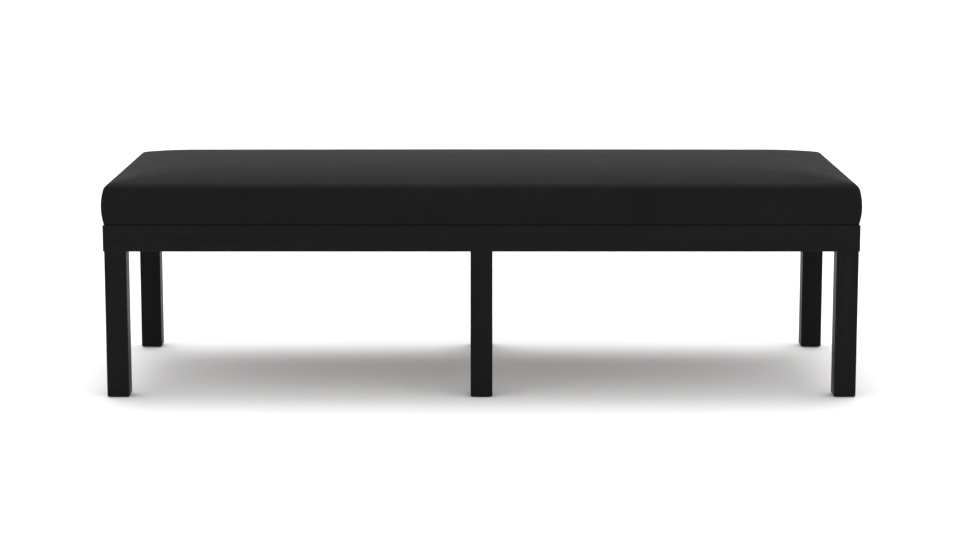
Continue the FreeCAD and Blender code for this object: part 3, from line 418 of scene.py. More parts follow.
def stained_wood_material(name, finish, turn, centre, half_size, fold=None):
    """Black stained wood whose pores show, with slightly rubbed edges. The turn lays its grain along X."""
    made = Surface(name, 7.0)
    grain, figure = made.grain(made.turned(turn), 0.75, 1.0)
    boxed = fold(made) if fold else made.place
    box = {"Vector": boxed, "Centre": centre, "Half Size": half_size, "Width": 0.0035, "Amount": 0.7}
    wear = made.group(edge_wear_group(), box)["Wear"]
    base = made.shades(figure, finish.wood, 0.85, 1.2)
    base = made.over(base, grain["Pores"], 0.7, finish.wood, 0.3)
    base = made.over(base, wear, 0.5, finish.wood, 2.6)
    gloss = made.plus(made.gloss(0.42, 0.50), made.times(grain["Pores"], 0.2))
    gloss = made.minus(gloss, made.times(wear, 0.08))
    return made.finish(base, gloss, (grain["Height"], 0.00006, 0.5), {"Specular IOR Level": 0.052})


def bare_wood_material(name, wood, turn):
    """Bare planed wood with short dark flecks. The turn lays its grain along X."""
    made = Surface(name, 14.0)
    turned = made.turned(turn)
    grain, figure = made.grain(turned, 0.35, 1.6)
    flecks = made.noise(made.mapped(turned, (160.0, 700.0, 700.0)), 1.0, 1.0)
    base = made.shades(figure, wood, 0.82, 1.12)
    base = made.blend(made.remap(flecks, 0.60, 0.66, 0.0, 0.55, smooth=True), base, shade(wood, 0.55))
    base = made.over(base, grain["Pores"], 0.5, wood, 0.45)
    return made.finish(base, made.gloss(0.58, 0.72), (grain["Height"], 0.0001, 0.5))


def plywood_material(finish):
    """Birch plywood: veneer grain on the faces and eleven thin crossing layers at the edges."""
    made = Surface("birch_plywood", 5.0)
    low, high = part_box("seat_deck")
    layer = made.times(made.minus(made.parts(made.place)[2], low.z), 11.0 / (high.z - low.z))
    odd = made.math("GREATER_THAN", made.math("MODULO", layer, 2.0), 1.0)
    facing = made.parts(made.add("ShaderNodeNewGeometry")["Normal"])
    edge = made.math("LESS_THAN", made.math("ABSOLUTE", facing[2]), 0.5)
    grain, figure = made.grain(made.place, 0.3, 0.6)
    face = made.shades(figure, finish.plywood, 0.85, 1.12)
    face = made.over(face, grain["Pores"], 0.4, finish.plywood, 0.5)
    base = made.blend(edge, face, made.shades(odd, finish.plywood, 1.05, 0.55))
    return made.finish(base, made.gloss(0.6, 0.75), (grain["Height"], 0.0001, 0.4))


def foam_material(name, foam):
    """Cut open-cell foam, with painted shade in the hollows of its cells."""
    made = Surface(name, 12.0)
    holes = made.remap(made.cells(made.place, 900.0), 0.1, 0.55, 1.0, 0.0, smooth=True)
    base = made.shades(made.tone(), foam, 0.92, 1.06)
    # Painted shade: the foam is darkened in the hollows of its open cells.
    base = made.over(base, holes, 0.6, foam, 0.45)
    return made.finish(base, made.gloss(0.85, 0.95), (made.times(holes, -1.0), 0.0005, 0.8))


def batting_material(finish):
    """Fluffy polyester batting made of crossing fibres."""
    made = Surface("polyester_batting", 40.0)
    layers = []
    for turn in ((0.0, 0.2, 0.5), (0.2, 0.0, -0.9)):
        layers.append(made.noise(made.mapped(made.place, (90.0, 1500.0, 700.0), turn), 1.0, 3.0, 0.6, 1.2))
    fibres = made.math("MAXIMUM", layers[0], layers[1])
    tone = made.remap(made.times(fibres, made.mottle["Tone"]), 0.15, 0.45)
    base = made.shades(tone, finish.batting, 0.8, 1.1)
    return made.finish(base, made.gloss(0.85, 1.0), (fibres, 0.0012, 0.8), {"Sheen Weight": 0.4})


def cambric_material(finish):
    """Thin black non-woven cloth with pressed points and loose fibres."""
    made = Surface("black_cambric", 22.0)
    pressed = made.cells(made.mapped(made.place, (1.0, 1.0, 0.05), (0.0, 0.0, 0.785)), 520.0, 0.12)
    points = made.remap(pressed, 0.18, 0.42, 1.0, 0.0, smooth=True)
    fibres = made.mapped(made.place, (900.0, 260.0, 300.0), (0.0, 0.0, 0.5))
    fibres = made.noise(fibres, 1.0, 3.0, 0.6, 1.5)
    tone = made.remap(made.plus(fibres, made.mottle["Tone"]), 0.7, 1.3)
    base = made.shades(tone, finish.cambric, 0.7, 1.8)
    base = made.over(base, points, 0.6, finish.cambric, 0.6)
    height = made.minus(made.times(fibres, 0.5), points)
    gloss = made.minus(0.9, made.times(points, 0.35))
    return made.finish(base, gloss, (height, 0.00012, 0.8), {"Sheen Weight": 0.15})


def steel_material(name, finish, dullness):
    """Zinc-plated steel with faint crystals and handling marks."""
    made = Surface(name, 160.0)
    crystals = made.add("ShaderNodeSeparateColor", {0: made.cells(made.place, 700.0, output="Color")})[0]
    scratches = made.noise(made.mapped(made.place, (2400.0, 300.0, 900.0), (0.3, 0.5, 0.2)), 1.0, 2.0, 0.6)
    tone = made.plus(made.times(crystals, 0.5), made.times(made.mottle["Tone"], 0.5))
    base = made.shades(tone, finish.steel, 0.72, 1.15)
    gloss = made.gloss(dullness, dullness + 0.16)
    return made.finish(base, gloss, (scratches, 0.00002, 0.5), {"Metallic": 1.0})


def nylon_material(finish):
    """Moulded black nylon with a fine spark texture and scuffs near the floor."""
    made = Surface("moulded_nylon", 60.0)
    spark = made.noise(made.place, 2200.0, 2.0, 0.6)
    low = made.remap(made.parts(made.place)[2], 0.0, 0.0025, 1.0, 0.0, smooth=True)
    scuffs = made.times(low, made.remap(made.mottle["Tone"], 0.45, 0.65, 0.0, 0.6))
    base = made.shades(spark, finish.nylon, 0.8, 1.3)
    base = made.blend(scuffs, base, shade(finish.nylon, 4.0))
    gloss = made.plus(made.gloss(0.42, 0.52), made.times(scuffs, 0.25))
    return made.finish(base, gloss, (spark, 0.00003, 0.6))


def paint(names, material):
    """Gives CAD nodes a material in all their slots."""
    for name in names:
        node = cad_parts[name]
        if not node.data.materials:
            node.data.materials.append(material)
        for slot in node.material_slots:
            slot.material = material


def named(ending):
    """The names of the CAD nodes that end alike."""
    return [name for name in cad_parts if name.endswith(ending)]


# The cushion's shape

class Profile:
    """The cushion's upright section and its corners, all in metres.

    An inset is measured from the outer face of the rails and a height from their top. A slant is the
    angle from upright at which the surface leans in. A layer lies a depth below the leather's outside.
    Each part of the section is a list of (inset, height, slant).
    """

    def __init__(self, cushion):
        self.cushion = cushion
        self.lean = cushion.side_lean
        self.foot = cushion.base_roll * (1.0 - math.sin(self.lean))
        self.side_radius = (cushion.side_height - self.foot) / 2.0 / math.sin(self.lean)
        radius = cushion.shoulder_radius
        end = cushion.shoulder_end
        self.crown_inset = cushion.side_inset + radius * (math.cos(self.lean) - math.cos(end))
        self.crown_foot = cushion.side_height + radius * (math.sin(end) - math.sin(self.lean))
        self.reach = HALF_DEPTH - self.crown_inset

    def crown(self, inset):
        """Height and slope of the crowned top at an inset."""
        share = np.clip((inset - self.crown_inset) / self.reach, 0.0, 1.0)
        rise = self.cushion.crown_rise
        power = self.cushion.crown_power
        height = self.crown_foot + rise * (1.0 - (1.0 - share) ** power)
        slope = rise * power / self.reach * (1.0 - share) ** (power - 1.0)
        return height, slope

    def top(self, depth):
        """A function of x and y that gives the height of a layer's top above the floor."""

        def height_at(x, y):
            height, slope = self.crown(self.inset_at(x, y))
            return RAIL_TOP + height - depth * np.sqrt(1.0 + slope * slope)

        return height_at

    def corner(self, inset):
        """Radius of the corners of a level line at an inset."""
        widening = self.cushion.corner_spread * np.maximum(inset - self.crown_inset, 0.0)
        return np.minimum(self.cushion.corner_radius + widening, 0.8 * (HALF_DEPTH - inset))

    def tucked(self, steps):
        """The flat leather under the deck, from its edge to the roll."""
        tuck = self.cushion.tuck
        start = self.cushion.side_inset + self.cushion.base_roll * math.cos(self.lean)
        return [(tuck + (start - tuck) * i / steps, 0.0, -QUARTER_TURN) for i in range(steps)]

    def arc(self, steps, radius, start, end, joint, level):
        """An arc from one slant to another, without its end. It meets the side at a slant and a level."""
        made = []
        for i in range(steps):
            slant = start + (end - start) * i / steps
            inset = self.cushion.side_inset + radius * (math.cos(self.lean) - math.cos(slant))
            made.append((inset, level + radius * (math.sin(slant) - math.sin(joint)), slant))
        return made

    def roll(self, steps, start=-QUARTER_TURN):
        """The roll at the foot, from a slant up to the side."""
        return self.arc(steps, self.cushion.base_roll, start, -self.lean, -self.lean, self.foot)

    def side(self, steps):
        """The bulging side."""
        return self.arc(steps, self.side_radius, -self.lean, self.lean, -self.lean, self.foot)

    def shoulder(self, steps):
        """The soft edge between the side and the top."""
        cushion = self.cushion
        return self.arc(
            steps, cushion.shoulder_radius, self.lean, cushion.shoulder_end, self.lean, cushion.side_height
        )

    def slope_up(self, steps):
        """The outer part of the crown, up to the grid."""
        made = []
        for i in range(steps + 1):
            inset = self.crown_inset + (GRID_INSET - self.crown_inset) * (i / steps) ** 1.2
            height, slope = self.crown(inset)
            made.append((inset, float(height), QUARTER_TURN - math.atan(float(slope))))
        return made

    def layer_depth(self, slant, side_depth, top_depth):
        """How deep a layer lies where the leather has a slant."""
        share = min(1.0, max(0.0, (slant - self.lean) / (self.cushion.shoulder_end - self.lean)))
        return side_depth + (top_depth - side_depth) * share * share * (3.0 - 2.0 * share)

    def inset_at(self, x, y):
        """Inset of the level line through each point of the top, found by halving."""
        low = np.full(x.shape, self.crown_inset)
        high = np.full(x.shape, HALF_DEPTH)
        for _ in range(40):
            middle = (low + high) / 2.0
            radius = self.corner(middle)
            across = np.abs(x) - (HALF_LENGTH - middle - radius)
            along = np.abs(y) - (HALF_DEPTH - middle - radius)
            outside = np.hypot(np.maximum(across, 0.0), np.maximum(along, 0.0))
            beyond = outside + np.minimum(np.maximum(across, along), 0.0) - radius
            low = np.where(beyond > 0.0, low, middle)
            high = np.where(beyond > 0.0, middle, high)
        return (low + high) / 2.0


def graded(count):
    """Shares along a side, closer together at its ends."""
    even = np.linspace(0.0, 1.0, count + 1)
    return even - 0.5 / FULL_TURN * np.sin(FULL_TURN * even)


def side_points(half_along, half_out, radius, count):
    """One side of a level line as (along, outward) pairs, from one corner seam up to the next."""
    reach = half_along - radius
    start = []
    for step in CORNER_STEPS:
        turn = math.pi / 4.0 * (1.0 - step)
        start.append((-reach - radius * math.sin(turn), half_out - radius + radius * math.cos(turn)))
    inner = graded(count - 2 * (len(CORNER_STEPS) - 1))[1:-1]
    straight = [(reach * (2.0 * share - 1.0), half_out) for share in inner]
    end = [(-along, out) for along, out in reversed(start)]
    return (start + straight + end)[:-1]


def level_line(inset, height, radius, along, across):
    """A closed level line round the seat, anticlockwise from the front left corner seam."""
    half_x = HALF_LENGTH - inset
    half_y = HALF_DEPTH - inset
    long_side = side_points(half_x, half_y, radius, along)
    short_side = side_points(half_y, half_x, radius, across)
    points = [(a, -out, height) for a, out in long_side]
    points += [(out, a, height) for a, out in short_side]
    points += [(-a, out, height) for a, out in long_side]
    points += [(-out, -a, height) for a, out in short_side]
    return np.array(points)


def layer_lines(profile, section, side_depth, top_depth, along, across):
    """The level lines of a layer that lies under the leather's outside."""
    lines = []
    for inset, height, slant in section:
        depth = profile.layer_depth(slant, side_depth, top_depth)
        inward = depth * math.cos(slant)
        radius = max(LEAST_CORNER, float(profile.corner(np.array(inset))) - inward)
        level = RAIL_TOP + height - depth * math.sin(slant)
        lines.append(level_line(inset + inward, level, radius, along, across))
    return lines


def patch(line, along, across, height):
    """Fills a closed level line with a grid. The height is a function of x and y.

    Returns the points inside the line and the index of every point of the grid.
    """
    front = line[0:along + 1]
    right = line[along:along + across + 1]
    back = line[along + across:2 * along + across + 1][::-1]
    left = np.vstack([line[2 * along + across:], line[0:1]])[::-1]
    u = ((front[:, 0] - front[0, 0]) / (front[-1, 0] - front[0, 0]))[:, None, None]
    v = ((left[:, 1] - left[0, 1]) / (left[-1, 1] - left[0, 1]))[None, :, None]
    grid = (1 - v) * front[:, None, :] + v * back[:, None, :]
    grid = grid + (1 - u) * left[None, :, :] + u * right[None, :, :]
    grid -= (1 - u) * ((1 - v) * front[0] + v * back[0]) + u * ((1 - v) * front[-1] + v * back[-1])
    inner = grid[1:-1, 1:-1].reshape(-1, 3)
    inner[:, 2] = height(inner[:, 0], inner[:, 1])
    index = np.zeros((along + 1, across + 1), int)
    count = len(line)
    index[:, 0] = np.arange(0, along + 1)
    index[along, :] = np.arange(along, along + across + 1)
    index[:, across] = np.arange(along + across, 2 * along + across + 1)[::-1]
    index[0, :] = np.append(np.arange(2 * along + across, count), 0)[::-1]
    index[1:-1, 1:-1] = count + np.arange(len(inner)).reshape(along - 1, across - 1)
    return inner, index


def grid_faces(index):
    """The faces of a grid of point indices, facing up."""
    corners = np.stack([index[:-1, :-1], index[1:, :-1], index[1:, 1:], index[:-1, 1:]], axis=-1)
    return [tuple(face) for face in corners.reshape(-1, 4).tolist()]


def skin(lines, along, across, height):
    """Points and faces of a skin over level lines, closed by a grid at its last line. Its faces point out."""
    count = len(lines[0])
    faces = []
    for level in range(len(lines) - 1):
        low = level * count
        for i in range(count):
            j = (i + 1) % count
            faces.append((low + i, low + j, low + count + j, low + count + i))
    inner, index = patch(lines[-1], along, across, height)
    faces += grid_faces(index + (len(lines) - 1) * count)
    return np.vstack(lines + [inner]), faces


def closed_shell(outer, inner, count):
    """Joins an outer and an inner skin that have the same faces by a rim at their first line."""
    shift = len(outer[0])
    faces = outer[1] + [tuple(shift + i for i in reversed(face)) for face in inner[1]]
    for i in range(count):
        j = (i + 1) % count
        faces.append((j, i, shift + i, shift + j))
    return np.vstack([outer[0], inner[0]]), faces


def link_object(name, data):
    """A new object at the origin, in the scene."""
    made = bpy.data.objects.new(name, data)
    bpy.context.scene.collection.objects.link(made)
    return made


def make_mesh_object(name, points, faces, material):
    """A smooth mesh object with one material."""
    mesh = bpy.data.meshes.new(name)
    mesh.from_pydata([tuple(map(float, p)) for p in points], [], faces)
    mesh.update()
    mesh.materials.append(material)
    mesh.polygons.foreach_set("use_smooth", [True] * len(mesh.polygons))
    return link_object(name, mesh)


def ripple(points, lengths, seed):
    """A smooth unevenness from -1 to 1, made of a few waves with fixed directions."""
    chance = np.random.default_rng(seed)
    total = np.zeros(len(points))
    for wave in lengths:
        for _ in range(4):
            direction = chance.normal(size=3)
            direction /= np.linalg.norm(direction)
            total += np.sin(points @ direction * (FULL_TURN / wave) + chance.uniform(0.0, 6.28))
    return total / (2.0 * math.sqrt(len(lengths) * 2.0))


def vertex_normals(points, faces):
    """Unit normals of a skin's points."""
    quads = np.array(faces)
    cross = np.cross(points[quads[:, 2]] - points[quads[:, 0]], points[quads[:, 3]] - points[quads[:, 1]])
    normals = np.zeros_like(points)
    for k in range(4):
        np.add.at(normals, quads[:, k], cross)
    return normals / np.maximum(np.linalg.norm(normals, axis=1), 1e-12)[:, None]


def swell(points, faces, held, cushion):
    """How far each point moves when the filling pushes the leather out, found as a cloth held at its foot.

    The first points, as many as are held, don't move.
    """
    scene = bpy.context.scene
    blank = bpy.data.materials.new("blown_leather")
    blown = make_mesh_object("blown_leather", points, faces, blank)
    blown.vertex_groups.new(name="stapled").add(list(range(held)), 1.0, "REPLACE")
    cloth = blown.modifiers.new("Cloth", "CLOTH")
    hide = cloth.settings
    hide.quality = 5
    hide.mass = 0.3
    hide.tension_stiffness = cushion.hide_stiffness
    hide.compression_stiffness = cushion.hide_stiffness
    hide.shear_stiffness = cushion.hide_stiffness / 3.0
    hide.bending_stiffness = 5.0
    hide.tension_damping = 25.0
    hide.compression_damping = 25.0
    hide.shear_damping = 25.0
    hide.air_damping = 2.0
    hide.use_pressure = True
    hide.uniform_pressure_force = cushion.fill_pressure
    hide.vertex_group_mass = "stapled"
    hide.effector_weights.gravity = 0.0
    cloth.collision_settings.use_collision = False
    cloth.collision_settings.use_self_collision = False
    cloth.point_cache.frame_start = 1
    cloth.point_cache.frame_end = SWELL_FRAMES
    for moment in range(1, SWELL_FRAMES + 1):
        scene.frame_set(moment)
    settled = blown.evaluated_get(bpy.context.evaluated_depsgraph_get())
    places = np.empty(3 * len(points))
    settled.data.vertices.foreach_get("co", places)
    bpy.data.objects.remove(blown)
    bpy.data.materials.remove(blank)
    scene.frame_set(1)
    moved = places.reshape(-1, 3) - points
    far = np.linalg.norm(moved, axis=1)[:, None]
    return moved * np.minimum(1.0, cushion.swell_limit / np.maximum(far, 1e-9))


def follow_cover(points, profile, cover):
    """Lifts the top of a layer of the filling as far as the leather above it was pushed up."""
    fade_start = 0.009
    fade_width = 0.012
    edge = profile.crown_inset + 0.004
    x = np.clip(points[:, 0], edge - HALF_LENGTH, HALF_LENGTH - edge)
    y = np.clip(points[:, 1], edge - HALF_DEPTH, HALF_DEPTH - edge)
    even = profile.top(profile.cushion.leather)(x, y)
    top = RAIL_TOP + profile.cushion.side_height
    share = np.clip((points[:, 2] - top + fade_start) / fade_width, 0.0, 1.0)
    for i in np.flatnonzero(share):
        found, place, _, _ = cover.ray_cast((x[i], y[i], top), (0.0, 0.0, 1.0))
        if not found:
            raise RuntimeError("the leather has a hole above the filling")
        points[i, 2] += share[i] * (place.z - even[i])


def seam_mask(points, profile):
    """How much of the corner seam reaches each point: whole up the side, fading out over the shoulder."""
    height = points[:, 2] - RAIL_TOP
    top = profile.cushion.side_height
    fade = np.clip((profile.crown_foot + 0.001 - height) / (profile.crown_foot - top), 0.0, 1.0)
    foot = np.clip(height / 0.003, 0.0, 1.0)
    return fade * fade * (3.0 - 2.0 * fade) * foot


def dress(points, profile):
    """How far the leather's points move along their normals: seam grooves, unevenness and pulled spots."""
    groove_width = 0.00055
    lip_place = 0.0017
    lip_width = 0.0011
    lip_share = 0.4
    pull_depth = 0.00012
    pull_height = 0.006
    cushion = profile.cushion
    gap_x = HALF_LENGTH - np.abs(points[:, 0])
    gap_y = HALF_DEPTH - np.abs(points[:, 1])
    beside = (gap_x - gap_y) / math.sqrt(2.0)
    at_corner = (np.maximum(gap_x, gap_y) < 0.03) * seam_mask(points, profile)
    groove = -cushion.seam_depth * np.exp(-((beside / groove_width) ** 2))
    lips = lip_share * cushion.seam_depth * np.exp(-(((np.abs(beside) - lip_place) / lip_width) ** 2))
    moved = at_corner * (groove + lips)
    height = points[:, 2] - RAIL_TOP
    calm = np.clip(height / 0.008, 0.0, 1.0)
    moved += cushion.unevenness * calm * ripple(points, (0.11, 0.17, 0.31), 11)
    run = np.where(gap_y < gap_x, points[:, 0], points[:, 1])
    pull = np.exp(-((height - pull_height) / pull_height) ** 2) * (np.minimum(gap_x, gap_y) < 0.01)
    moved -= pull_depth * pull * (0.5 + 0.5 * np.cos(run / COVER_STAPLE_PITCH * FULL_TURN))
    return moved


# Operators that make the pieces

class BENCH_OT_seat_cover(bpy.types.Operator):
    """Make the leather seat cover, tucked under the deck and sewn at its corners"""

    bl_idname = "bench.seat_cover"
    bl_label = "Seat Cover"

    along = 150
    across = 56

    def execute(self, context):
        cushion = context.scene.bench_cushion
        profile = Profile(cushion)
        round_count = 2 * (self.along + self.across)
        stapled = profile.tucked(3) + profile.roll(6)
        section = stapled + profile.side(13) + profile.shoulder(10) + profile.slope_up(8)
        skins = []
        for depth in (0.0, cushion.leather):
            lines = layer_lines(profile, section, depth, depth, self.along, self.across)
            skins.append(skin(lines, self.along, self.across, profile.top(depth)))
        outside, faces = skins[0]
        moved = dress(outside, profile)[:, None] * vertex_normals(outside, faces)
        moved += swell(outside, faces, len(stapled) * round_count, cushion)
        points, faces = closed_shell((outside + moved, faces), (skins[1][0] + moved, faces), round_count)
        material = leather_material(context.scene.bench_finish)
        cover = make_mesh_object("seat_cover_leather", points, faces, material)
        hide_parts("seat_cover")
        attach(cover, "root")
        return {"FINISHED"}


class BENCH_OT_filling(bpy.types.Operator):
    """Make the batting wrap and the two foam layers that fill the seat"""

    bl_idname = "bench.filling"
    bl_label = "Seat Filling"

    along = 84
    across = 38

    def execute(self, context):
        scene = context.scene
        cushion = scene.bench_cushion
        profile = Profile(cushion)
        cover = bpy.data.objects["seat_cover_leather"]
        self.make_batting(profile, cover, batting_material(scene.bench_finish))
        under = cushion.leather + 2.0 * cushion.clearance
        top_depth = under + cushion.top_batting
        section = profile.side(16) + profile.shoulder(9) + profile.slope_up(7)
        side_depth = under + cushion.side_batting
        lines = layer_lines(profile, section, side_depth, top_depth, self.along, self.across)
        slabs = (
            ("seat_foam_base", "foam_base", "firm_foam", 1.0, DECK_TOP, FOAM_JOIN),
            ("seat_foam_topper", "foam_topper", "soft_foam", 1.12, FOAM_JOIN, None),
        )
        for name, node, finish, lightness, low, high in slabs:
            points, faces = self.cut_slab(lines, low, high, profile.top(top_depth))
            follow_cover(points, profile, cover)
            material = foam_material(finish, shade(scene.bench_finish.foam, lightness))
            slab = make_mesh_object(name, points, faces, material)
            self.sharpen(slab.data, (low, high))
            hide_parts(node)
            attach(slab, "root")
        return {"FINISHED"}

    def make_batting(self, profile, cover, material):
        """The batting lies inside the leather, down to the edge of the deck."""
        cushion = profile.cushion
        outer_depth = cushion.leather + cushion.clearance
        foot = profile.roll(3, math.radians(-62.0))
        section = foot + profile.side(14) + profile.shoulder(9) + profile.slope_up(7)
        lines = layer_lines(profile, section, outer_depth, outer_depth, self.along, self.across)
        outside, faces = skin(lines, self.along, self.across, profile.top(outer_depth))
        side_depth = outer_depth + cushion.side_batting
        top_depth = outer_depth + cushion.top_batting
        inner = layer_lines(profile, section, side_depth, top_depth, self.along, self.across)
        for i in range(len(foot)):
            inner[i] = inner[len(foot)].copy()
            inner[i][:, 2] = min(lines[i][0, 2], inner[len(foot)][0, 2])
        inside = skin(inner, self.along, self.across, profile.top(top_depth))
        fluff = (ripple(outside, (0.02, 0.033, 0.05), 23) - 1.0) * 0.0001
        outside += vertex_normals(outside, faces) * fluff[:, None]
        points, faces = closed_shell((outside, faces), inside, len(lines[0]))
        follow_cover(points, profile, cover)
        batting = make_mesh_object("seat_batting", points, faces, material)
        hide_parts("batting_wrap")
        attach(batting, "root")

    def cut_slab(self, lines, low, high, crown):
        """A foam slab between two levels of the filling, or from a level up to the crown."""
        spare = 0.0006
        kept = [self.between(lines, low)]
        kept += [line for line in lines if low + spare < line[0, 2] < (high or math.inf) - spare]
        if high:
            kept.append(self.between(lines, high))
        points, faces = skin(kept, self.along, self.across, self.flat(high) if high else crown)
        bottom, index = patch(kept[0], self.along, self.across, self.flat(low))
        count = len(kept[0])
        index = np.where(index >= count, index + len(points) - count, index)
        faces += [face[::-1] for face in grid_faces(index)]
        return np.vstack([points, bottom]), faces

    def flat(self, level):
        """A function of x and y that is the same level everywhere."""
        return lambda x, y: np.full(x.shape, level)

    def between(self, lines, height):
        """The level line at a height, found between its two neighbours."""
        for one, two in zip(lines, lines[1:]):
            if one[0, 2] <= height <= two[0, 2]:
                share = (height - one[0, 2]) / (two[0, 2] - one[0, 2])
                made = one + (two - one) * share
                made[:, 2] = height
                return made
        raise RuntimeError(f"the filling has no level line at {height:.4f} m")

    def sharpen(self, mesh, levels):
        """Makes the edges of the flat cuts sharp."""
        for edge in mesh.edges:
            one, two = (mesh.vertices[v].co.z for v in edge.vertices)
            at_cut = any(level and abs(one - level) < 1e-6 for level in levels)
            edge.use_edge_sharp = at_cut and abs(one - two) < 1e-6


class BENCH_OT_corner_stitches(bpy.types.Operator):
    """Sew the four upright corner seams of the seat cover"""

    bl_idname = "bench.corner_stitches"
    bl_label = "Corner Stitches"

    def execute(self, context):
        scene = context.scene
        stitch = scene.bench_stitch
        path = self.make_seam_path(Profile(scene.bench_cushion))
        modifier = path.modifiers.new("Stitches", "NODES")
        modifier.node_group = self.stitch_tree()
        values = {
            "Spacing": stitch.spacing,
            "Width": stitch.width,
            "Thread": stitch.thread,
            "Seed": stitch.seed,
            "Material": thread_material(scene.bench_finish),
        }
        for item in modifier.node_group.interface.items_tree:
            if item.name in values:
                modifier[item.identifier] = values[item.name]
        mesh = bpy.data.meshes.new_from_object(path.evaluated_get(context.evaluated_depsgraph_get()))
        path.modifiers.remove(modifier)
        bpy.data.objects.remove(path)
        if not mesh.polygons:
            raise RuntimeError("the corner seams came out with no stitches")
        mesh.name = "seat_corner_stitches"
        stitches = link_object("seat_corner_stitches", mesh)
        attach(stitches, "root")
        return {"FINISHED"}

    def make_seam_path(self, profile):
        """A wire mesh that runs up the four seams, with the outward direction at each of its points."""
        section = profile.side(24) + profile.shoulder(10)[:6]
        diagonal = math.sqrt(0.5)
        sunk = 0.75 * profile.cushion.seam_depth
        points = []
        outward = []
        edges = []
        for sign_x, sign_y in ((-1, -1), (1, -1), (1, 1), (-1, 1)):
            for step, (inset, height, slant) in enumerate(section):
                away = inset + float(profile.corner(np.array(inset))) * (1.0 - diagonal)
                flat = math.cos(slant) * diagonal
                normal = Vector((sign_x * flat, sign_y * flat, math.sin(slant)))
                out = (sign_x * (HALF_LENGTH - away), sign_y * (HALF_DEPTH - away), RAIL_TOP + height)
                if step:
                    edges.append((len(points) - 1, len(points)))
                points.append(Vector(out) - normal * sunk)
                outward.append(normal)
        mesh = bpy.data.meshes.new("seam_path")
        mesh.from_pydata(points, edges, [])
        stored = mesh.attributes.new("outward", "FLOAT_VECTOR", "POINT")
        stored.data.foreach_set("vector", [part for vector in outward for part in vector])
        return link_object("seam_path", mesh)

    def stitch_tree(self):
        """Geometry nodes that lay one bent thread across the seam at each step along it."""
        sway = (0.0, 0.0, 0.16)
        tree = bpy.data.node_groups.new("Seam Stitches", "GeometryNodeTree")
        new_socket = tree.interface.new_socket
        new_socket(name="Geometry", in_out="OUTPUT", socket_type="NodeSocketGeometry")
        new_socket(name="Geometry", in_out="INPUT", socket_type="NodeSocketGeometry")
        for name in ("Spacing", "Width", "Thread"):
            new_socket(name=name, in_out="INPUT", socket_type="NodeSocketFloat").subtype = "DISTANCE"
        new_socket(name="Seed", in_out="INPUT", socket_type="NodeSocketInt")
        new_socket(name="Material", in_out="INPUT", socket_type="NodeSocketMaterial")
        nodes = Nodes(tree)
        ask = nodes.add("NodeGroupInput")

        def lay(kind, inputs, **options):
            return nodes.add("GeometryNode" + kind, inputs, **options)[0]

        def turn(kind, inputs, **options):
            return nodes.add("FunctionNode" + kind, inputs, **options)[0]

        def point(inputs):
            return nodes.add("ShaderNodeCombineXYZ", inputs)[0]

        curve = lay("MeshToCurve", {"Mesh": ask["Geometry"]})
        steps = lay("ResampleCurve", {"Curve": curve, "Length": ask["Spacing"]}, mode="LENGTH")
        outward = lay("InputNamedAttribute", {"Name": "outward"}, data_type="FLOAT_VECTOR")
        facing = turn("AlignRotationToVector", {"Vector": outward}, axis="Z")
        along = {"Rotation": facing, "Vector": lay("InputTangent", {})}
        facing = turn("AlignRotationToVector", along, axis="Y", pivot_axis="Z")
        limits = {"Min": tuple(-part for part in sway), "Max": sway, "Seed": ask["Seed"]}
        swayed = turn("RandomValue", limits, data_type="FLOAT_VECTOR")
        swayed = turn("RotateRotation", {"Rotation": facing, "Rotate By": swayed}, rotation_space="LOCAL")
        half = nodes.times(ask["Width"], 0.5)
        left = point({0: nodes.times(half, -1.0)})
        right = point({0: half})
        peak = point({2: nodes.times(ask["Thread"], 1.6)})
        bow = lay("CurveQuadraticBezier", {"Resolution": 5, "Start": left, "Middle": peak, "End": right})
        ring = lay("CurvePrimitiveCircle", {"Resolution": 6, "Radius": nodes.times(ask["Thread"], 0.5)})
        thread = lay("CurveToMesh", {"Curve": bow, "Profile Curve": ring, "Fill Caps": True})
        placed = lay("InstanceOnPoints", {"Points": steps, "Instance": thread, "Rotation": swayed})
        smooth = lay("SetShadeSmooth", {0: lay("RealizeInstances", {0: placed})})
        painted = lay("SetMaterial", {"Geometry": smooth, "Material": ask["Material"]})
        nodes.add("NodeGroupOutput", {0: painted})
        return tree


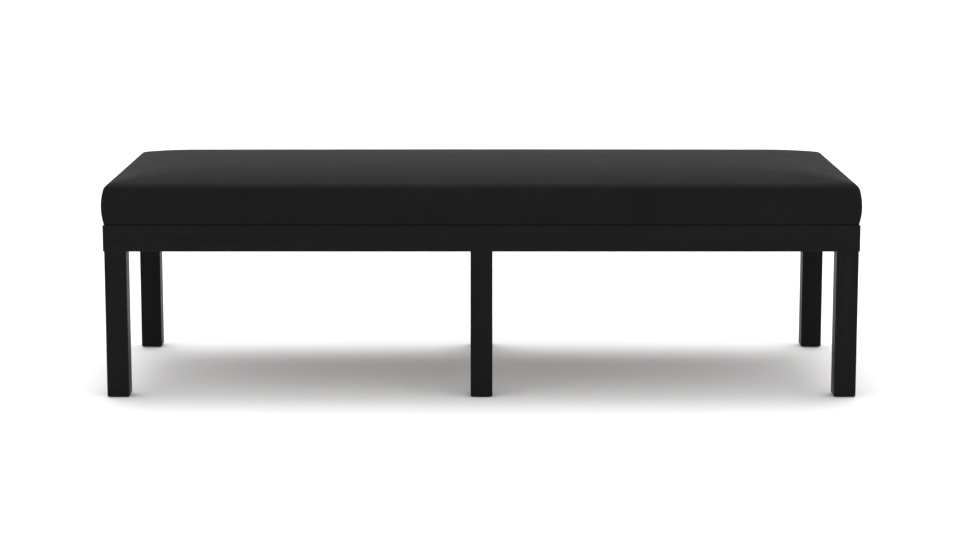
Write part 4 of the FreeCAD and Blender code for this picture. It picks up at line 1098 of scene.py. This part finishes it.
class BENCH_OT_dust_cover(bpy.types.Operator):
    """Stretch the black cloth under the seat"""

    bl_idname = "bench.dust_cover"
    bl_label = "Dust Cover"

    columns = 252
    rows = 88

    def execute(self, context):
        x = np.linspace(DUST_LOW.x, DUST_HIGH.x, self.columns + 1)
        y = np.linspace(DUST_LOW.y, DUST_HIGH.y, self.rows + 1)
        x, y = np.meshgrid(x, y, indexing="ij")
        lowered = self.hang(x, y, context.scene.bench_dust_cover)
        low = np.stack([x, y, DUST_LOW.z - lowered], axis=-1).reshape(-1, 3)
        high = low + np.array((0.0, 0.0, DUST_HIGH.z - DUST_LOW.z))
        index = np.arange(len(low)).reshape(x.shape)
        faces = grid_faces(index.T) + [face[::-1] for face in grid_faces(index.T + len(low))]
        border = [*index[:-1, 0], *index[-1, :-1], *index[:0:-1, -1], *index[0, :0:-1]]
        for one, two in zip(border, border[1:] + border[:1]):
            faces.append((int(one), int(two), int(two) + len(low), int(one) + len(low)))
        material = cambric_material(context.scene.bench_finish)
        cloth = make_mesh_object("seat_dust_cover", np.vstack([low, high]), faces, material)
        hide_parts("dust_cover")
        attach(cloth, "root")
        return {"FINISHED"}

    def hang(self, x, y, dust):
        """How far the cloth hangs in each bay between the cross rails, with puckers at its edges."""
        margin = 0.006
        pucker_reach = 0.035
        pucker_fade = 0.004
        stops = [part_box("left_end_rail")[1].x]
        for name in ("left_cross_rail", "centre_cross_rail", "right_cross_rail"):
            low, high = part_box(name)
            stops += [low.x, high.x]
        stops.append(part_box("right_end_rail")[0].x)
        half_x = HALF_LENGTH - DUST_STAPLE_INSET
        half_y = HALF_DEPTH - DUST_STAPLE_INSET
        across = np.clip(1.0 - (np.abs(y) / (half_y - 0.004)) ** 2, 0.0, 1.0)
        lowered = np.zeros(x.shape)
        for start, end in zip(stops[0::2], stops[1::2]):
            share = np.clip((x - start - margin) / (end - start - 2.0 * margin), 0.0, 1.0)
            lowered += dust.sag * (4.0 * share * (1.0 - share)) ** 0.8 * across
        edge_x = half_x - np.abs(x)
        edge_y = half_y - np.abs(y)
        wave_x = np.cos(x / (2.0 * half_x / (dust.staples_along - 1)) * FULL_TURN)
        wave_y = np.cos(y / (2.0 * half_y / (dust.staples_across - 1)) * FULL_TURN)
        inside = np.clip(np.minimum(edge_x, edge_y) / pucker_fade, 0.0, 1.0)
        waves = wave_x * np.exp(-edge_y.clip(0.0) / pucker_reach)
        waves += wave_y * np.exp(-edge_x.clip(0.0) / pucker_reach)
        return lowered + dust.pucker * inside * (1.0 + waves) * (lowered > 0.0)


def fold_legs(nodes):
    """Lays the six legs over one another, so that one box describes them all."""
    low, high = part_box("front_right_leg")
    parts = nodes.parts(nodes.place)
    away = nodes.math("ABSOLUTE", parts[0])
    outer = nodes.math("ABSOLUTE", nodes.minus(away, (low.x + high.x) / 2.0))
    near = nodes.math("MINIMUM", away, outer)
    deep = nodes.minus(nodes.math("ABSOLUTE", parts[1]), -(low.y + high.y) / 2.0)
    return nodes.add("ShaderNodeCombineXYZ", {0: near, 1: deep, 2: parts[2]})[0]


class BENCH_OT_stained_frame(bpy.types.Operator):
    """Stain the four rails and the six legs black"""

    bl_idname = "bench.stained_frame"
    bl_label = "Stained Frame"

    def execute(self, context):
        finish = context.scene.bench_finish
        middle = (RAIL_TOP + RAIL_BOTTOM) / 2.0
        ring = ((0.0, 0.0, middle), (HALF_LENGTH, HALF_DEPTH, RAIL_TOP - middle))
        low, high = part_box("front_right_leg")
        leg = ((0.0, 0.0, (low.z + high.z) / 2.0), tuple((high - low) / 2.0))
        lengthwise = stained_wood_material("stained_wood_lengthwise", finish, ALONG_X, *ring)
        paint(("front_rail", "back_rail"), lengthwise)
        paint(named("_end_rail"), stained_wood_material("stained_wood_crosswise", finish, ALONG_Y, *ring))
        paint(named("_leg"), stained_wood_material("stained_wood_upright", finish, ALONG_Z, *leg, fold_legs))
        return {"FINISHED"}


class BENCH_OT_inner_wood(bpy.types.Operator):
    """Finish the cross rails, corner blocks, dowels and seat deck as bare wood"""

    bl_idname = "bench.inner_wood"
    bl_label = "Inner Wood"

    def execute(self, context):
        finish = context.scene.bench_finish
        slanted = bare_wood_material("beech_slanted", finish.beech, SLANTED)
        paint(named("_corner_block") + ["mitre_dowels"], slanted)
        paint(named("_cross_rail"), bare_wood_material("beech_crosswise", finish.beech, ALONG_Y))
        paint(("leg_dowels",), bare_wood_material("beech_upright", shade(finish.beech, 1.08), ALONG_Z))
        paint(("seat_deck",), plywood_material(finish))
        return {"FINISHED"}


class BENCH_OT_hardware(bpy.types.Operator):
    """Finish the glides, bolts, nuts, screws and staples"""

    bl_idname = "bench.hardware"
    bl_label = "Hardware"

    def execute(self, context):
        finish = context.scene.bench_finish
        paint(named("_glide"), nylon_material(finish))
        paint(named("_staples"), steel_material("staple_wire", finish, 0.34))
        plated = steel_material("zinc_plate", finish, 0.26)
        for ending in ("_screws", "_washers", "_nuts", "_bolts"):
            paint(named(ending), plated)
        return {"FINISHED"}


class BENCH_OT_stage(bpy.types.Operator):
    """Set the floor, the light and the camera"""

    bl_idname = "bench.stage"
    bl_label = "Stage"

    def execute(self, context):
        scene = context.scene
        stage = scene.bench_stage
        self.make_floor(stage)
        scene.world = self.make_surroundings(stage)
        self.make_lamp(stage)
        lens = bpy.data.cameras.new("camera")
        lens.lens = stage.lens
        lens.sensor_width = 36.0
        lens.clip_end = 200.0
        camera = link_object("camera", lens)
        camera.location = stage.place
        camera.rotation_euler = (QUARTER_TURN - stage.pitch, 0.0, 0.0)
        scene.camera = camera
        scene.view_settings.view_transform = "Standard"
        return {"FINISHED"}

    def make_floor(self, stage):
        """A wide plain floor."""
        made = Surface("pale_floor", 2.0)
        base = made.shades(made.mottle["Tone"], stage.floor, 0.995, 1.005)
        shape = bmesh.new()
        bmesh.ops.create_grid(shape, x_segments=8, y_segments=8, size=45.0)
        mesh = bpy.data.meshes.new("floor")
        shape.to_mesh(mesh)
        shape.free()
        mesh.materials.append(made.finish(base, 1.0, others={"Specular IOR Level": 0.0}))
        floor = link_object("floor", mesh)

    def make_surroundings(self, stage):
        """A white light from all round, stronger from in front of the bench."""
        world = bpy.data.worlds.new("white_room")
        world.use_nodes = True
        nodes = Nodes(world.node_tree)
        nodes.tree.nodes.clear()
        behind = nodes.parts(nodes.add("ShaderNodeTexCoord")["Generated"])[1]
        share = nodes.plus(nodes.times(behind, -stage.frontlight), 1.0)
        share = nodes.math("MAXIMUM", share, nodes.add("ShaderNodeLightPath")["Is Camera Ray"])
        light = {"Color": (1.0, 1.0, 1.0, 1.0), "Strength": nodes.times(share, stage.daylight)}
        nodes.add("ShaderNodeOutputWorld", {0: nodes.add("ShaderNodeBackground", light)[0]})
        return world

    def make_lamp(self, stage):
        """One broad light from above, a little behind the bench."""
        lamp = bpy.data.lights.new("overhead_light", "SUN")
        lamp.angle = stage.overhead_width
        lamp.energy = stage.overhead
        link_object("overhead_light", lamp).rotation_euler = (-stage.overhead_tilt, 0.0, 0.0)


class BENCH_PT_panel(bpy.types.Panel):
    """Lists the bench's sizes, colours and pieces"""

    bl_label = "Upholstered Bench"
    bl_idname = "BENCH_PT_panel"
    bl_space_type = "VIEW_3D"
    bl_region_type = "UI"
    bl_category = "Bench"

    def draw(self, context):
        for name, kind in SETTINGS:
            box = self.layout.box()
            box.label(text=name.removeprefix("bench_").replace("_", " ").title())
            for setting in kind.__annotations__:
                box.prop(getattr(context.scene, name), setting)
        column = self.layout.column()
        for operator in OPERATORS:
            column.operator(operator.bl_idname)


SETTINGS = (
    ("bench_cushion", CushionSettings),
    ("bench_stitch", StitchSettings),
    ("bench_dust_cover", DustCoverSettings),
    ("bench_finish", FinishSettings),
    ("bench_stage", StageSettings),
)
OPERATORS = (
    BENCH_OT_stage,
    BENCH_OT_seat_cover,
    BENCH_OT_filling,
    BENCH_OT_corner_stitches,
    BENCH_OT_dust_cover,
    BENCH_OT_stained_frame,
    BENCH_OT_inner_wood,
    BENCH_OT_hardware,
)


def register():
    for name, kind in SETTINGS:
        bpy.utils.register_class(kind)
        setattr(bpy.types.Scene, name, PointerProperty(type=kind))
    for kind in OPERATORS:
        bpy.utils.register_class(kind)
    bpy.utils.register_class(BENCH_PT_panel)


def unregister():
    bpy.utils.unregister_class(BENCH_PT_panel)
    for kind in reversed(OPERATORS):
        bpy.utils.unregister_class(kind)
    for name, kind in reversed(SETTINGS):
        delattr(bpy.types.Scene, name)
        bpy.utils.unregister_class(kind)


def main():
    register()
    bpy.ops.bench.stage()
    bpy.ops.bench.seat_cover()
    bpy.ops.bench.filling()
    bpy.ops.bench.corner_stitches()
    bpy.ops.bench.dust_cover()
    bpy.ops.bench.stained_frame()
    bpy.ops.bench.inner_wood()
    bpy.ops.bench.hardware()
    bpy.context.view_layer.update()


if __name__ == "__main__":
    main()
